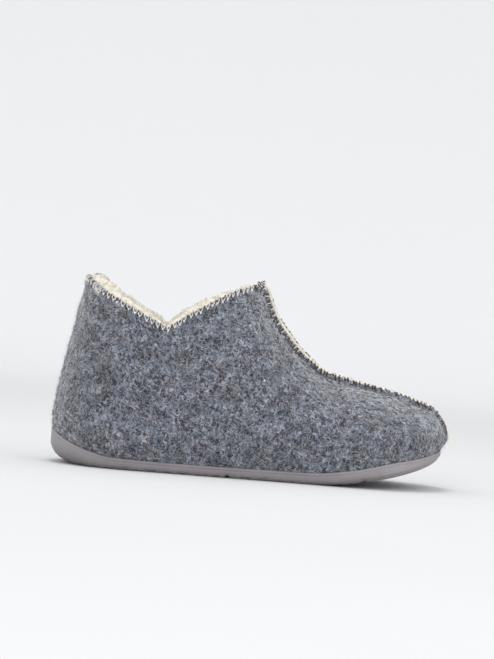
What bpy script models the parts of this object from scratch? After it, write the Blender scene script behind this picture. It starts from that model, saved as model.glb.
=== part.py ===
"""House slipper for the left foot: felt upper, fleece lining and moulded sole, in metres, toe along +X."""

import math

import bpy
import numpy as np

MM = 0.001
ORIGIN_X, ORIGIN_Y = 130.8, -0.2

# Overall sizes in mm, X from the back of the heel
LENGTH = 257.6
HEEL_X = 1.2
FELT_WALL = 3.0
GAP = 0.3
CUP_GAP = 0.45
PILE = 7.0
PILE_CROWN = 1.4
PILE_LUMP, PILE_LUMP_SPAN = 1.0, 24.0
INSOLE_THICK = 4.0
SOLE_PLATE = 4.5
SOLE_LIP, LIP_THICK, LIP_FALL = 0.8, 0.7, 0.1

# Plan of the felt at its widest: X, half width on the medial side, half width on the lateral side
FOOTPRINT = [
    (0.0, 47.5, 47.5),
    (58.0, 49.0, 48.0),
    (110.0, 50.5, 50.0),
    (160.0, 52.6, 55.4),
    (201.0, 56.2, 56.2),
    (260.0, 56.2, 56.2),
]
HEEL_END, HEEL_POWER = 58.0, 2.1
TOE_ROUND = {-1: 60.0, 1: 85.0}
TOE_POWER = {-1: 2.2, 1: 2.05}
TOE_END_X = LENGTH - 0.5

# Widest line: X, Z, how upright the wall above it starts
WIDEST = [
    (0.0, 29.0, 0.20),
    (30.0, 28.5, 0.28),
    (60.0, 28.0, 0.42),
    (150.0, 26.0, 0.45),
    (201.0, 26.5, 0.45),
    (235.0, 30.0, 0.45),
    (258.0, 34.0, 0.45),
]

# Front seam from the throat to the top of the toe: X, Z, roof angle beside it in degrees
SEAM = [
    (126.5, 124.6, 34.0),
    (130.5, 123.2, 33.0),
    (132.7, 117.5, 32.0),
    (136.2, 110.2, 30.0),
    (139.9, 104.0, 27.5),
    (146.4, 94.6, 24.0),
    (152.8, 87.0, 20.5),
    (159.0, 80.7, 18.0),
    (176.0, 68.8, 13.0),
    (202.0, 62.5, 11.0),
    (223.0, 58.2, 11.0),
    (242.0, 52.4, 14.0),
]
SEAM_BAND = 7.5
THROAT_FOOT_X, THROAT_TOP_X = 122.5, 126.5

# Where the sections of the vamp stand at the widest line and where they meet the seam
SECTION_LEAN = [
    (122.5, 126.5),
    (150.0, 152.0),
    (175.0, 177.0),
    (201.0, 202.0),
    (235.0, 227.0),
    (257.1, 242.0),
]

# Collar: back, widest and notch
COLLAR_BACK_X, COLLAR_BACK_Z = 17.0, 122.2
COLLAR_WIDE_X, COLLAR_HALF = 60.0, 40.0
NOTCH_X, NOTCH_Z = 73.0, 92.0
THROAT_EDGE_Z = 123.4
# Along the collar: X, wall angle in degrees
COLLAR_LEAN = [(17.0, 80.0), (73.0, 80.0), (101.0, 66.0), (126.5, 40.0)]
# How far the pile's wall stands above the felt: X, height
PILE_RISE = [(17.0, 2.2), (48.0, 2.8), (64.0, 2.2), (73.0, 1.2), (88.0, 2.0), (104.0, 2.2), (133.0, 0.4)]
COLLAR_BACK_ROUND, COLLAR_FRONT_ROUND, COLLAR_FRONT_POINT = 2.2, 1.8, 0.9
COLLAR_BACK_DIP, COLLAR_FRONT_DIP = 0.82, 1.25
# Point of the collar where the front seam starts: its depth, and the length that it fades over
THROAT_CUT, THROAT_FADE = 4.5, 12.0

# How the felt curves between its guide lines, as shares of the distance
FOOT_FLARE, FOOT_LIFT, FOOT_UPRIGHT, TOP_PULL = 0.45, 0.3, 0.5, 0.42

# Raised front seam with a groove between its edges: distance from the centre line, height above the felt
SEAM_GROOVE = 1.9
RIDGE = [(0.0, 0.5), (SEAM_GROOVE, 0.5), (2.1, 2.8), (4.6, 2.2), (7.5, 0.0)]
# Along the seam: X, share of that height on the medial and the lateral side, top of the fleece strip
RIDGE_SHARE = [
    (130.0, 0.60, 1.10, 3.4),
    (140.0, 0.72, 1.62, 4.0),
    (150.0, 0.72, 1.68, 4.2),
    (166.0, 0.85, 1.35, 3.8),
    (180.0, 0.92, 1.05, 3.4),
    (258.0, 0.95, 1.00, 3.1),
]
# Heights above the sole's rim: where the ridge starts to rise, where it is full, where the strip starts
RIDGE_FOOT, RIDGE_FULL, STRIP_START = 2.0, 8.0, 6.0
# Section of the fleece strip: distance from the centre line, share of its height above its foot
STRIP_FOOT = 0.8
STRIP_SECTION = [(-1.6, 0.0), (-1.6, 0.8), (-0.8, 1.0), (0.8, 1.0), (1.6, 0.8), (1.6, 0.0)]

# Sole: top of its rim, X and Z
RIM = [
    (0.0, 23.0),
    (9.0, 17.0),
    (27.0, 10.2),
    (45.0, 7.3),
    (90.0, 6.7),
    (170.0, 7.4),
    (197.0, 11.0),
    (223.0, 17.4),
    (245.0, 22.0),
    (261.0, 27.0),
]
# Around the sole: X, felt tucked inside the rim, sole wall inside the widest line, edge rounding in and up
SOLE_EDGE = [
    (0.0, 8.5, 0.0, 19.0, 12.5),
    (14.0, 7.5, 0.6, 10.0, 8.0),
    (40.0, 6.0, 2.2, 3.5, 3.2),
    (100.0, 5.5, 2.8, 2.5, 2.5),
    (215.0, 5.8, 3.0, 3.0, 2.5),
    (261.0, 6.2, 2.4, 8.0, 4.5),
]
SPRING_START, SPRING_RATE, SPRING_POWER = 168.0, 0.0059, 1.8
# Grooves across the tread: X, half length, width, depth
GROOVES = [
    (40.0, 26.0, 3.0, 1.0),
    (66.0, 30.0, 3.0, 1.0),
    (92.0, 30.0, 3.0, 1.0),
    (118.0, 75.0, 2.6, 0.9),
    (140.0, 34.0, 3.0, 1.0),
    (162.0, 36.0, 3.0, 1.0),
    (183.0, 36.0, 3.0, 1.0),
    (204.5, 75.0, 2.6, 0.9),
    (225.0, 28.0, 3.0, 1.0),
]

# Mesh density
HEEL_STEPS, NOTCH_STEPS, COLLAR_STEPS, VAMP_STEPS, TOE_STEPS = 8, 2, 7, 8, 8
VAMP_SPREAD = 1.4
LOWER_ROWS, UPPER_ROWS = 4, 9

COLOURS = {
    "upper": (0.095, 0.105, 0.125, 1.0),
    "lining": (0.80, 0.72, 0.58, 1.0),
    "front_seam_strip": (0.82, 0.76, 0.64, 1.0),
    "insole": (0.76, 0.67, 0.52, 1.0),
    "outsole": (0.22, 0.20, 0.205, 1.0),
}
ROUGHNESS = {"upper": 0.95, "lining": 0.95, "front_seam_strip": 0.95, "insole": 0.95, "outsole": 0.5}


def smooth(rows, column, x):
    """Cubic curve through a table's rows that does not overshoot them."""
    table = np.array(rows, float)
    xs, ys = table[:, 0], table[:, column]
    x = np.clip(x, xs[0], xs[-1])
    step, rise = np.diff(xs), np.diff(ys)
    slope = rise / step
    tangent = np.zeros(len(xs))
    tangent[0], tangent[-1] = slope[0], slope[-1]
    same = slope[:-1] * slope[1:] > 0
    both = np.where(same, slope[:-1] + slope[1:], 1.0)
    tangent[1:-1] = np.where(same, 2.0 * slope[:-1] * slope[1:] / both, 0.0)
    k = np.clip(np.searchsorted(xs, x, side="right") - 1, 0, len(step) - 1)
    f = (x - xs[k]) / step[k]
    return (
        ys[k] * (1 + 2 * f) * (1 - f) ** 2
        + step[k] * tangent[k] * f * (1 - f) ** 2
        + ys[k + 1] * f * f * (3 - 2 * f)
        + step[k] * tangent[k + 1] * f * f * (f - 1)
    )


def outline_half(x, side):
    """Half width of the felt at its widest line; side is -1 medial, 1 lateral."""
    full = smooth(FOOTPRINT, 1 if side < 0 else 2, x)
    heel = np.clip((HEEL_END - x) / (HEEL_END - HEEL_X), 0.0, 1.0)
    toe = np.clip((x - LENGTH + TOE_ROUND[side]) / TOE_ROUND[side], 0.0, 1.0)
    heel_cut = (1.0 - heel**HEEL_POWER) ** (1.0 / HEEL_POWER)
    toe_cut = (1.0 - toe ** TOE_POWER[side]) ** (1.0 / TOE_POWER[side])
    return full * heel_cut * toe_cut


def station_list():
    """X of every section at the widest line, and the index of the section at the throat."""
    turn = np.linspace(0.0, math.pi / 2, HEEL_STEPS + 1)
    heel = HEEL_X + (HEEL_END - HEEL_X) * (1.0 - np.cos(turn))
    notch_share = (NOTCH_X - COLLAR_WIDE_X) / (THROAT_TOP_X - COLLAR_WIDE_X)
    notch_foot = HEEL_END + notch_share * (THROAT_FOOT_X - HEEL_END)
    to_notch = np.linspace(HEEL_END, notch_foot, NOTCH_STEPS + 1)[1:]
    to_throat = np.linspace(notch_foot, THROAT_FOOT_X, COLLAR_STEPS + 1)[1:]
    toe_start = LENGTH - TOE_ROUND[-1]
    along = np.linspace(0.0, 1.0, VAMP_STEPS + 1)[1:] ** VAMP_SPREAD
    vamp = THROAT_FOOT_X + (toe_start - THROAT_FOOT_X) * along
    last = math.asin((TOE_END_X - toe_start) / TOE_ROUND[-1])
    toe = toe_start + TOE_ROUND[-1] * np.sin(np.linspace(0.0, last, TOE_STEPS + 1)[1:])
    xs = np.concatenate([heel, to_notch, to_throat, vamp, toe])
    return xs, HEEL_STEPS + NOTCH_STEPS + COLLAR_STEPS


STATIONS, THROAT = station_list()
LAST = len(STATIONS) - 1


def sole_bottom(x):
    """Height of the tread's surface: flat, then rising to the toe."""
    return SPRING_RATE * np.maximum(np.asarray(x, float) - SPRING_START, 0.0) ** SPRING_POWER


def recess_floor(x):
    return sole_bottom(x) + SOLE_PLATE


def wide_point(x, side, half=None):
    half = outline_half(x, side) if half is None else half
    return np.array([x, side * half, smooth(WIDEST, 1, x)])


def plan_normal(x, side):
    """Outward direction of the plan outline, level."""
    if x <= HEEL_X:
        return np.array([-1.0, 0.0, 0.0])
    if x >= LENGTH:
        return np.array([1.0, 0.0, 0.0])
    step = min(0.4, 0.4 * (x - HEEL_X), 0.4 * (LENGTH - x))
    a, b = wide_point(x - step, side), wide_point(x + step, side)
    along = b - a
    normal = np.array([-along[1], along[0], 0.0]) * side
    return normal / np.linalg.norm(normal)


def edge_at(x, column):
    return float(smooth(SOLE_EDGE, column, x))


def collar_half(x):
    back = np.clip((COLLAR_WIDE_X - x) / (COLLAR_WIDE_X - COLLAR_BACK_X), 0.0, 1.0)
    front = np.clip((x - COLLAR_WIDE_X) / (THROAT_TOP_X - COLLAR_WIDE_X), 0.0, 1.0)
    rear_half = COLLAR_HALF * (1.0 - back**COLLAR_BACK_ROUND) ** (1.0 / COLLAR_BACK_ROUND)
    taper = (1.0 - front**COLLAR_FRONT_ROUND) ** COLLAR_FRONT_POINT
    front_half = SEAM_BAND + (COLLAR_HALF - SEAM_BAND) * taper
    return rear_half if x < COLLAR_WIDE_X else front_half


def collar_height(x):
    if x < NOTCH_X:
        part = (x - COLLAR_BACK_X) / (NOTCH_X - COLLAR_BACK_X)
        return COLLAR_BACK_Z - (COLLAR_BACK_Z - NOTCH_Z) * max(part, 0.0) ** COLLAR_BACK_DIP
    part = (THROAT_TOP_X - x) / (THROAT_TOP_X - NOTCH_X)
    return THROAT_EDGE_Z - (THROAT_EDGE_Z - NOTCH_Z) * max(part, 0.0) ** COLLAR_FRONT_DIP


def seam_point(x):
    return np.array([x, 0.0, float(smooth(SEAM, 1, x))])


def pointed(centre, share):
    """A seam place moved forward for the collar's point; share is 0 at the seam, 1 beside its band."""
    past = np.clip((centre[0] - THROAT_TOP_X) / THROAT_FADE, 0.0, 1.0)
    shift = THROAT_CUT * (1.0 - share) * (1.0 - past * past * (3.0 - 2.0 * past))
    return centre + seam_point(centre[0] + shift) - seam_point(centre[0])


def top_point(x, side):
    """Where the section at X meets the collar or the seam band, and the wall's angle there."""
    if x <= THROAT_FOOT_X:
        if x <= HEEL_END:
            share = (x - HEEL_X) / (HEEL_END - HEEL_X)
            top_x = COLLAR_BACK_X + share * (COLLAR_WIDE_X - COLLAR_BACK_X)
        else:
            share = (x - HEEL_END) / (THROAT_FOOT_X - HEEL_END)
            top_x = COLLAR_WIDE_X + share * (THROAT_TOP_X - COLLAR_WIDE_X)
        point = np.array([top_x, side * collar_half(top_x), collar_height(top_x)])
        return point, float(smooth(COLLAR_LEAN, 1, top_x))
    top_x = float(smooth(SECTION_LEAN, 1, x))
    roof = float(smooth(SEAM, 2, top_x))
    point = seam_point(top_x)
    point += np.array([0.0, side * SEAM_BAND, -0.5 * SEAM_BAND * math.tan(math.radians(roof))])
    return point, roof


def bezier(a, b, c, d, u):
    u = np.asarray(u, float)[:, None]
    return a * (1 - u) ** 3 + 3 * b * u * (1 - u) ** 2 + 3 * c * u * u * (1 - u) + d * u**3


def lower_curve(foot, wide, u):
    rise = np.array([0.0, 0.0, wide[2] - foot[2]])
    flare = FOOT_FLARE * (wide - foot - rise)
    return bezier(foot, foot + flare + FOOT_LIFT * rise, wide - FOOT_UPRIGHT * rise, wide, u)


def upper_curve(wide, top, angle, u):
    chord = top - wide
    level = np.array([chord[0], chord[1], 0.0])
    level /= np.linalg.norm(level)
    tangent = level * math.cos(math.radians(angle))
    tangent[2] = math.sin(math.radians(angle))
    reach = TOP_PULL * abs(float(np.dot(chord, tangent)))
    rise = np.array([0.0, 0.0, float(smooth(WIDEST, 2, wide[0])) * chord[2]])
    return bezier(wide, wide + rise, top - tangent * reach, top, u)


def section(x, side, centre=False):
    """Points of one section from the feather line, inside the sole, up to its top."""
    half = 0.0 if centre else (SEAM_BAND if x >= TOE_END_X - 1e-6 else None)
    wide = wide_point(LENGTH if centre else x, side, half)
    out = plan_normal(LENGTH if centre else x, side)
    foot = wide - out * edge_at(x, 1)
    foot[2] = float(recess_floor(foot[0])) + GAP
    if centre:
        top, angle = seam_point(SEAM[-1][0]), SEAM[-1][2]
    else:
        top, angle = top_point(x, side)
    lower = lower_curve(foot, wide, np.linspace(0.0, 1.0, LOWER_ROWS + 1))
    upper = upper_curve(wide, top, angle, np.linspace(0.0, 1.0, UPPER_ROWS + 1)[1:])
    return np.concatenate([lower, upper])


def felt_at_height(x, side, z, centre=False):
    """Outer face of the felt on the section at X, at height z below its widest line."""
    rows = section(x, side, centre)[: LOWER_ROWS + 1]
    return np.array([np.interp(z, rows[:, 2], rows[:, k]) for k in range(3)])


class Surface:
    """The felt's outer face without its raised seam, as one open sheet."""

    def __init__(self, raised_collar=False):
        self.points, self.faces = [], []
        self.across, self.foot, self.collar, self.lifted = {}, set(), set(), {}
        main = {side: [] for side in (-1, 1)}
        for i, x in enumerate(STATIONS):
            for side in (-1, 1):
                if i == 0 and side == 1:
                    main[1].append(main[-1][0])
                    continue
                rows = section(x, side)
                main[side].append([self.add(point) for point in rows])
        if raised_collar:
            self.raise_collar(main)
        for side in (-1, 1):
            self.skin(main[side], side)
        self.band(main, raised_collar)
        self.points = np.array(self.points)
        self.normals = self.vertex_normals()
        self.faces = [triangle for face in self.faces for triangle in self.halves(face)]

    def add(self, point):
        self.points.append(np.array(point, float))
        return len(self.points) - 1

    def lift(self, below):
        rise = float(smooth(PILE_RISE, 1, self.points[below][0]))
        point = self.add(self.points[below] + np.array([0.0, 0.0, rise]))
        self.lifted[point] = below
        return point

    def raise_collar(self, main):
        """One more row above the collar edge for the sections behind the throat."""
        for side in (-1, 1):
            for i in range(THROAT + 1):
                if i == 0 and side == 1:
                    continue
                main[side][i].append(self.lift(main[side][i][-1]))

    def skin(self, columns, side):
        for left, right in zip(columns[:-1], columns[1:]):
            for j in range(min(len(left), len(right)) - 1):
                quad = [left[j], right[j], right[j + 1], left[j + 1]]
                self.faces.append(quad if side < 0 else quad[::-1])
        self.foot.update(column[0] for column in columns)
        self.collar.update(column[-1] for column in columns[: THROAT + 1])

    def band(self, main, raised_collar):
        """The strip along the centre of the toe and vamp that carries the seam."""
        middle = section(LENGTH, -1, centre=True)
        rows = LOWER_ROWS + UPPER_ROWS
        stops = [(main[-1][LAST][j], main[1][LAST][j], middle[j]) for j in range(rows + 1)]
        for i in range(LAST - 1, THROAT - 1, -1):
            top, _ = top_point(STATIONS[i], -1)
            stops.append((main[-1][i][rows], main[1][i][rows], seam_point(top[0])))
        strips = []
        for medial, lateral, centre in stops:
            mid = self.add(pointed(centre, 0.0))
            self.across[mid] = 0.0
            row = {0: mid}
            for side, edge in ((-1, medial), (1, lateral)):
                for level, (distance, _) in enumerate(RIDGE[1:-1], start=1):
                    row[side * level] = self.add(self.across_band(centre, self.points[edge], distance))
                    self.across[row[side * level]] = distance
                row[side * (len(RIDGE) - 1)] = edge
            strips.append([row[key] for key in sorted(row)])
        if raised_collar:
            above = {edge: point for point, edge in self.lifted.items()}
            strips.append([above[k] if k in above else self.lift(k) for k in strips[-1]])
        for lower, upper in zip(strips[:-1], strips[1:]):
            for c in range(len(lower) - 1):
                self.faces.append([lower[c], lower[c + 1], upper[c + 1], upper[c]])
        self.foot.update(strips[0])
        self.collar.update(strips[-1])

    @staticmethod
    def across_band(centre, edge, distance):
        share = distance / SEAM_BAND
        point = pointed(centre, share) + (edge - centre) * share**2
        point[1] = (edge[1] - centre[1]) * share
        return point

    def halves(self, face):
        """Two triangles along the shorter diagonal, so that layers of the wall stay parallel."""
        a, b, c, d = face
        if np.linalg.norm(self.points[a] - self.points[c]) <= np.linalg.norm(self.points[b] - self.points[d]):
            return [a, b, c], [a, c, d]
        return [a, b, d], [b, c, d]

    def vertex_normals(self):
        total = np.zeros_like(self.points)
        for face in self.faces:
            if not self.lifted.keys().isdisjoint(face):
                continue
            a, b, c, d = (self.points[k] for k in face)
            total[face] += np.cross(c - a, d - b)
        for k in self.foot:
            total[k, 2] = 0.0
        for k in self.across:
            if self.across[k] == 0.0:
                total[k, 1] = 0.0
        for point, below in self.lifted.items():
            total[point] = total[below]
        return total / np.linalg.norm(total, axis=1)[:, None]


def ridge_heights(surface):
    """How far each point of the felt stands out for the raised seam, fading out at the sole."""
    table = dict(RIDGE)
    heights = np.zeros(len(surface.points))
    for k, distance in surface.across.items():
        x, y, z = surface.points[k]
        above = z - float(smooth(RIM, 1, x))
        fade = np.clip((above - RIDGE_FOOT) / (RIDGE_FULL - RIDGE_FOOT), 0.0, 1.0)
        share = 1.0 if distance <= SEAM_GROOVE else float(smooth(RIDGE_SHARE, 1 if y < 0.0 else 2, x))
        heights[k] = table[distance] * fade * share
    return heights


def pile_depths(surface):
    """Depth of the fleece at each point: even, with soft lumps, and flat along the foot."""
    turn = surface.points * (2.0 * math.pi / PILE_LUMP_SPAN)
    waves = np.sin(turn[:, 0] + 1.7 * np.sin(turn[:, 2])) * np.cos(turn[:, 2] + turn[:, 1])
    waves[sorted(surface.foot)] = 0.0
    return FELT_WALL + GAP + PILE + PILE_LUMP * waves


def shell(surface, outward, inward, crown=0.0):
    """Closed wall between two offsets of a sheet, with a rounded rim at the collar."""
    outward = np.broadcast_to(outward, len(surface.points))[:, None]
    inward = np.broadcast_to(inward, len(surface.points))[:, None]
    outer = surface.points + surface.normals * outward
    inner = surface.points - surface.normals * inward
    count = len(outer)
    points = [*outer, *inner]
    faces = [list(face) for face in surface.faces]
    faces += [[k + count for k in reversed(face)] for face in surface.faces]
    directed = {(a, b) for f in surface.faces for a, b in zip(f, f[1:] + f[:1])}
    middle = {}
    for a, b in sorted(directed):
        if (b, a) in directed:
            continue
        if not (crown and a in surface.collar and b in surface.collar):
            faces.append([b, a, a + count, b + count])
            continue
        for k in (a, b):
            if k not in middle:
                middle[k] = len(points)
                points.append((outer[k] + inner[k]) / 2 + np.array([0.0, 0.0, crown]))
        faces.append([b, a, middle[a], middle[b]])
        faces.append([middle[b], middle[a], a + count, b + count])
    return points, faces


def around():
    """Sections round the sole: medial from heel to toe, the toe, lateral back to the heel."""
    loop = [(x, -1, False) for x in STATIONS]
    loop.append((LENGTH, -1, True))
    loop += [(x, 1, False) for x in STATIONS[:0:-1]]
    return loop


def outline_at(x, side, centre, inset):
    half = 0.0 if centre else (SEAM_BAND if x >= TOE_END_X - 1e-6 else None)
    return wide_point(x, side, half) - plan_normal(x, side) * inset


def ladder(ring, faces, flip):
    """Fills one ring of points by rungs between its two sides."""
    size = 2 * (LAST + 1)

    def at(i):
        return ring * size + i % size

    tip = [at(LAST), at(LAST + 1), at(LAST + 2)]
    rungs = [tip]
    for i in range(1, LAST):
        rungs.append([at(i), at(i + 1), at(size - i - 1), at(size - i)])
    rungs.append([at(0), at(1), at(size - 1)])
    faces += [rung[::-1] if flip else rung for rung in rungs]


def loft(rings):
    """Closed body from rings that run round the shoe, the first and last one filled across."""
    points = [point for ring in rings for point in ring]
    size = len(rings[0])
    faces = []
    for r in range(len(rings) - 1):
        for i in range(size):
            j = (i + 1) % size
            faces.append([r * size + i, r * size + j, (r + 1) * size + j, (r + 1) * size + i])
    ladder(0, faces, True)
    ladder(len(rings) - 1, faces, False)
    return points, faces


def raised(point, z):
    return np.array([point[0], point[1], z])


def outsole_body():
    """Cup sole: recess floor, rim against the felt, wall, rounded edge and tread."""
    rings = [[] for _ in range(10)]
    for x, side, centre in around():
        out = plan_normal(x, side)
        wall = outline_at(x, side, centre, edge_at(x, 2))
        foot = outline_at(x, side, centre, edge_at(x, 1) - CUP_GAP)
        rim = max(float(smooth(RIM, 1, x)), float(recess_floor(foot[0])) + 1.0)
        felt = felt_at_height(x, side, rim, centre)
        lip = felt + out * CUP_GAP
        edge_in, edge_up = edge_at(x, 3), edge_at(x, 4)
        rounded = wall
        shoulder = lip + out * LIP_THICK
        if np.dot(shoulder - wall, out) > 0.0:
            wall = shoulder
        for ring, turn in ((0, 90.0), (1, 60.0), (2, 30.0)):
            inward = edge_in * (1.0 - math.cos(math.radians(turn)))
            upward = edge_up * (1.0 - math.sin(math.radians(turn)))
            point = rounded - out * inward
            rings[ring].append(raised(point, float(sole_bottom(point[0])) + upward))
        rings[3].append(raised(wall, float(sole_bottom(wall[0])) + edge_up))
        rings[4].append(raised(wall, rim - SOLE_LIP))
        rings[5].append(raised((wall + lip) / 2, rim))
        rings[6].append(raised(lip, rim - LIP_FALL))
        floor = float(recess_floor(foot[0]))
        for ring, share in ((7, 0.6), (8, 0.25)):
            height = floor + share * (rim - floor)
            rings[ring].append(raised(felt_at_height(x, side, height, centre) + out * CUP_GAP, height))
        rings[9].append(raised(foot, floor))
    return loft(rings)


def insole_body():
    rings = [[], []]
    for x, side, centre in around():
        rim = outline_at(x, side, centre, edge_at(x, 1) + FELT_WALL + PILE + 3 * GAP)
        base = float(recess_floor(rim[0])) + GAP
        rings[0].append(raised(rim, base))
        rings[1].append(raised(rim, base + INSOLE_THICK))
    return loft(rings)


def strip_body():
    """Cream strip standing in the groove of the front seam, from above the sole to the throat."""
    middle = section(LENGTH, -1, centre=True)
    line = [p for p in middle if p[2] > float(smooth(RIM, 1, p[0])) + STRIP_START]
    for i in range(LAST - 1, THROAT - 1, -1):
        top, _ = top_point(STATIONS[i], -1)
        line.append(pointed(seam_point(top[0]), 0.0))
    line = np.array(line)
    along = np.gradient(line, axis=0)
    normals = np.stack([along[:, 2], np.zeros(len(line)), -along[:, 0]], axis=1)
    normals /= np.linalg.norm(normals, axis=1)[:, None]
    size = len(STRIP_SECTION)
    points, faces = [], []
    for centre, normal in zip(line, normals):
        thick = float(smooth(RIDGE_SHARE, 3, centre[0])) - STRIP_FOOT
        for y, share in STRIP_SECTION:
            height = STRIP_FOOT + share * thick
            points.append(centre + normal * height + np.array([0.0, y, 0.0]))
    for r in range(len(line) - 1):
        for i in range(size):
            j = (i + 1) % size
            faces.append([r * size + i, r * size + j, (r + 1) * size + j, (r + 1) * size + i])
    faces.append(list(range(size))[::-1])
    faces.append([(len(line) - 1) * size + i for i in range(size)])
    return points, faces


def material(name):
    made = bpy.data.materials.new(name)
    made.use_nodes = True
    shader = made.node_tree.nodes["Principled BSDF"]
    shader.inputs["Base Color"].default_value = COLOURS[name]
    shader.inputs["Roughness"].default_value = ROUGHNESS[name]
    made.diffuse_color = COLOURS[name]
    return made


def collection(name):
    made = bpy.data.collections.new(name)
    bpy.context.scene.collection.children.link(made)
    return made


def add_object(name, body, home):
    points, faces = body
    shift = np.array([ORIGIN_X, ORIGIN_Y, 0.0])
    mesh = bpy.data.meshes.new(name)
    corners = [tuple((point - shift) * MM) for point in points]
    mesh.from_pydata(corners, [], faces)
    mesh.update()
    made = bpy.data.objects.new(name, mesh)
    home.objects.link(made)
    return made


def groove_cutter(index, row, home):
    """Box that cuts one groove across the tread, tilted to the sole's slope there."""
    x, half, width, depth = row
    slope = math.atan(float(sole_bottom(x + 0.5) - sole_bottom(x - 0.5)))
    low, high = -4.0, depth
    corners = []
    for z in (low, high):
        for dx, dy in ((-1, -1), (1, -1), (1, 1), (-1, 1)):
            along = dx * width / 2
            turned = np.array([along * math.cos(slope) - z * math.sin(slope), dy * half, 0.0])
            turned[2] = along * math.sin(slope) + z * math.cos(slope)
            corners.append(turned + np.array([x, 0.0, float(sole_bottom(x))]))
    faces = [[3, 2, 1, 0], [4, 5, 6, 7], [0, 1, 5, 4], [1, 2, 6, 5], [2, 3, 7, 6], [3, 0, 4, 7]]
    cutter = add_object(f"groove_{index}", (corners, faces), home)
    cutter.hide_render = True
    cutter.display_type = "WIRE"
    return cutter


def main():
    for old in list(bpy.data.objects):
        bpy.data.objects.remove(old, do_unlink=True)
    slipper = collection("house_slipper")
    cutters = collection("cutters")
    felt = Surface()
    pile = Surface(raised_collar=True)
    bodies = {
        "outsole": outsole_body(),
        "insole": insole_body(),
        "upper": shell(felt, ridge_heights(felt), FELT_WALL),
        "lining": shell(pile, -(FELT_WALL + GAP), pile_depths(pile), PILE_CROWN),
        "front_seam_strip": strip_body(),
    }
    for name, body in bodies.items():
        made = add_object(name, body, slipper)
        made.data.materials.append(material(name))
    sole = bpy.data.objects["outsole"]
    for index, row in enumerate(GROOVES):
        cut = sole.modifiers.new(f"groove_{index}", "BOOLEAN")
        cut.operation = "DIFFERENCE"
        cut.solver = "EXACT"
        cut.object = groove_cutter(index, row, cutters)


main()
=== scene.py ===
"""Looks of the house slipper: felt, fleece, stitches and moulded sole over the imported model, in metres."""

import math

import bpy
import numpy as np
from mathutils import Euler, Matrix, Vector, noise
from mathutils.bvhtree import BVHTree


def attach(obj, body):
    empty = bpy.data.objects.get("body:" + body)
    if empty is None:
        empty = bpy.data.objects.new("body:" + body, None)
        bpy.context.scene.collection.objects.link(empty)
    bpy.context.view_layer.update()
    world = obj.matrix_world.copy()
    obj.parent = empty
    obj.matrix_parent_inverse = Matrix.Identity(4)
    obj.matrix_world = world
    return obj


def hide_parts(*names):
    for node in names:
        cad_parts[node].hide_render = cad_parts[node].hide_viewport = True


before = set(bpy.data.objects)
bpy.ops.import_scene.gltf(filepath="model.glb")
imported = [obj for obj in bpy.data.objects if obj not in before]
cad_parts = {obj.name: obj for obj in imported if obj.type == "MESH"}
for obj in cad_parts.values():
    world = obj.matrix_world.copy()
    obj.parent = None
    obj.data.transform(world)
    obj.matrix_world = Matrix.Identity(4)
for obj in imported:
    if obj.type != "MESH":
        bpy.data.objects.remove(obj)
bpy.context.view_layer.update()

MM = 0.001
FULL_TURN = 2.0 * math.pi
ORIGIN = np.array([130.8, -0.2, 0.0])
RANDOM = np.random.default_rng(7)
UP = np.array([0.0, 0.0, 1.0])
# The medial and the lateral side
SIDES = (-1, 1)

# Overall sizes in mm, X from the back of the heel, as in the part
LENGTH = 257.6
HEEL_X = 1.2
FELT_WALL = 3.0
GAP = 0.3
CUP_GAP = 0.45
PILE = 7.0
INSOLE_THICK = 4.0
SOLE_PLATE = 4.5

# Plan of the felt at its widest: X, half width on the medial side, half width on the lateral side
FOOTPRINT = [
    (0.0, 47.5, 47.5),
    (58.0, 49.0, 48.0),
    (110.0, 50.5, 50.0),
    (160.0, 52.6, 55.4),
    (201.0, 56.2, 56.2),
    (260.0, 56.2, 56.2),
]
HEEL_END, HEEL_POWER = 58.0, 2.1
TOE_ROUND = {-1: 60.0, 1: 85.0}
TOE_POWER = {-1: 2.2, 1: 2.05}
TOE_END_X = LENGTH - 0.5

# Widest line: X, Z, how upright the wall above it starts
WIDEST = [
    (0.0, 29.0, 0.20),
    (30.0, 28.5, 0.28),
    (60.0, 28.0, 0.42),
    (150.0, 26.0, 0.45),
    (201.0, 26.5, 0.45),
    (235.0, 30.0, 0.45),
    (258.0, 34.0, 0.45),
]

# Front seam from the throat to the top of the toe: X, Z, roof angle beside it in degrees
SEAM = [
    (126.5, 124.6, 34.0),
    (131.8, 122.6, 33.0),
    (134.6, 117.0, 32.0),
    (136.9, 110.2, 30.0),
    (139.9, 104.0, 27.5),
    (146.4, 94.6, 24.0),
    (152.8, 87.0, 20.5),
    (159.0, 80.7, 18.0),
    (176.0, 68.8, 13.0),
    (202.0, 62.5, 11.0),
    (223.0, 58.2, 11.0),
    (242.0, 52.4, 14.0),
]
SEAM_BAND = 7.5
THROAT_FOOT_X, THROAT_TOP_X = 122.5, 126.5

# Where the sections of the vamp stand at the widest line and where they meet the seam
SECTION_LEAN = [
    (122.5, 126.5),
    (150.0, 152.0),
    (175.0, 177.0),
    (201.0, 202.0),
    (235.0, 227.0),
    (257.1, 242.0),
]

# Collar: back, widest and notch
COLLAR_BACK_X, COLLAR_BACK_Z = 17.0, 122.2
COLLAR_WIDE_X, COLLAR_HALF = 60.0, 40.0
NOTCH_X, NOTCH_Z = 73.0, 92.0
THROAT_EDGE_Z = 123.4
# Along the collar: X, wall angle in degrees
COLLAR_LEAN = [(17.0, 80.0), (73.0, 80.0), (101.0, 66.0), (126.5, 40.0)]
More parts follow.
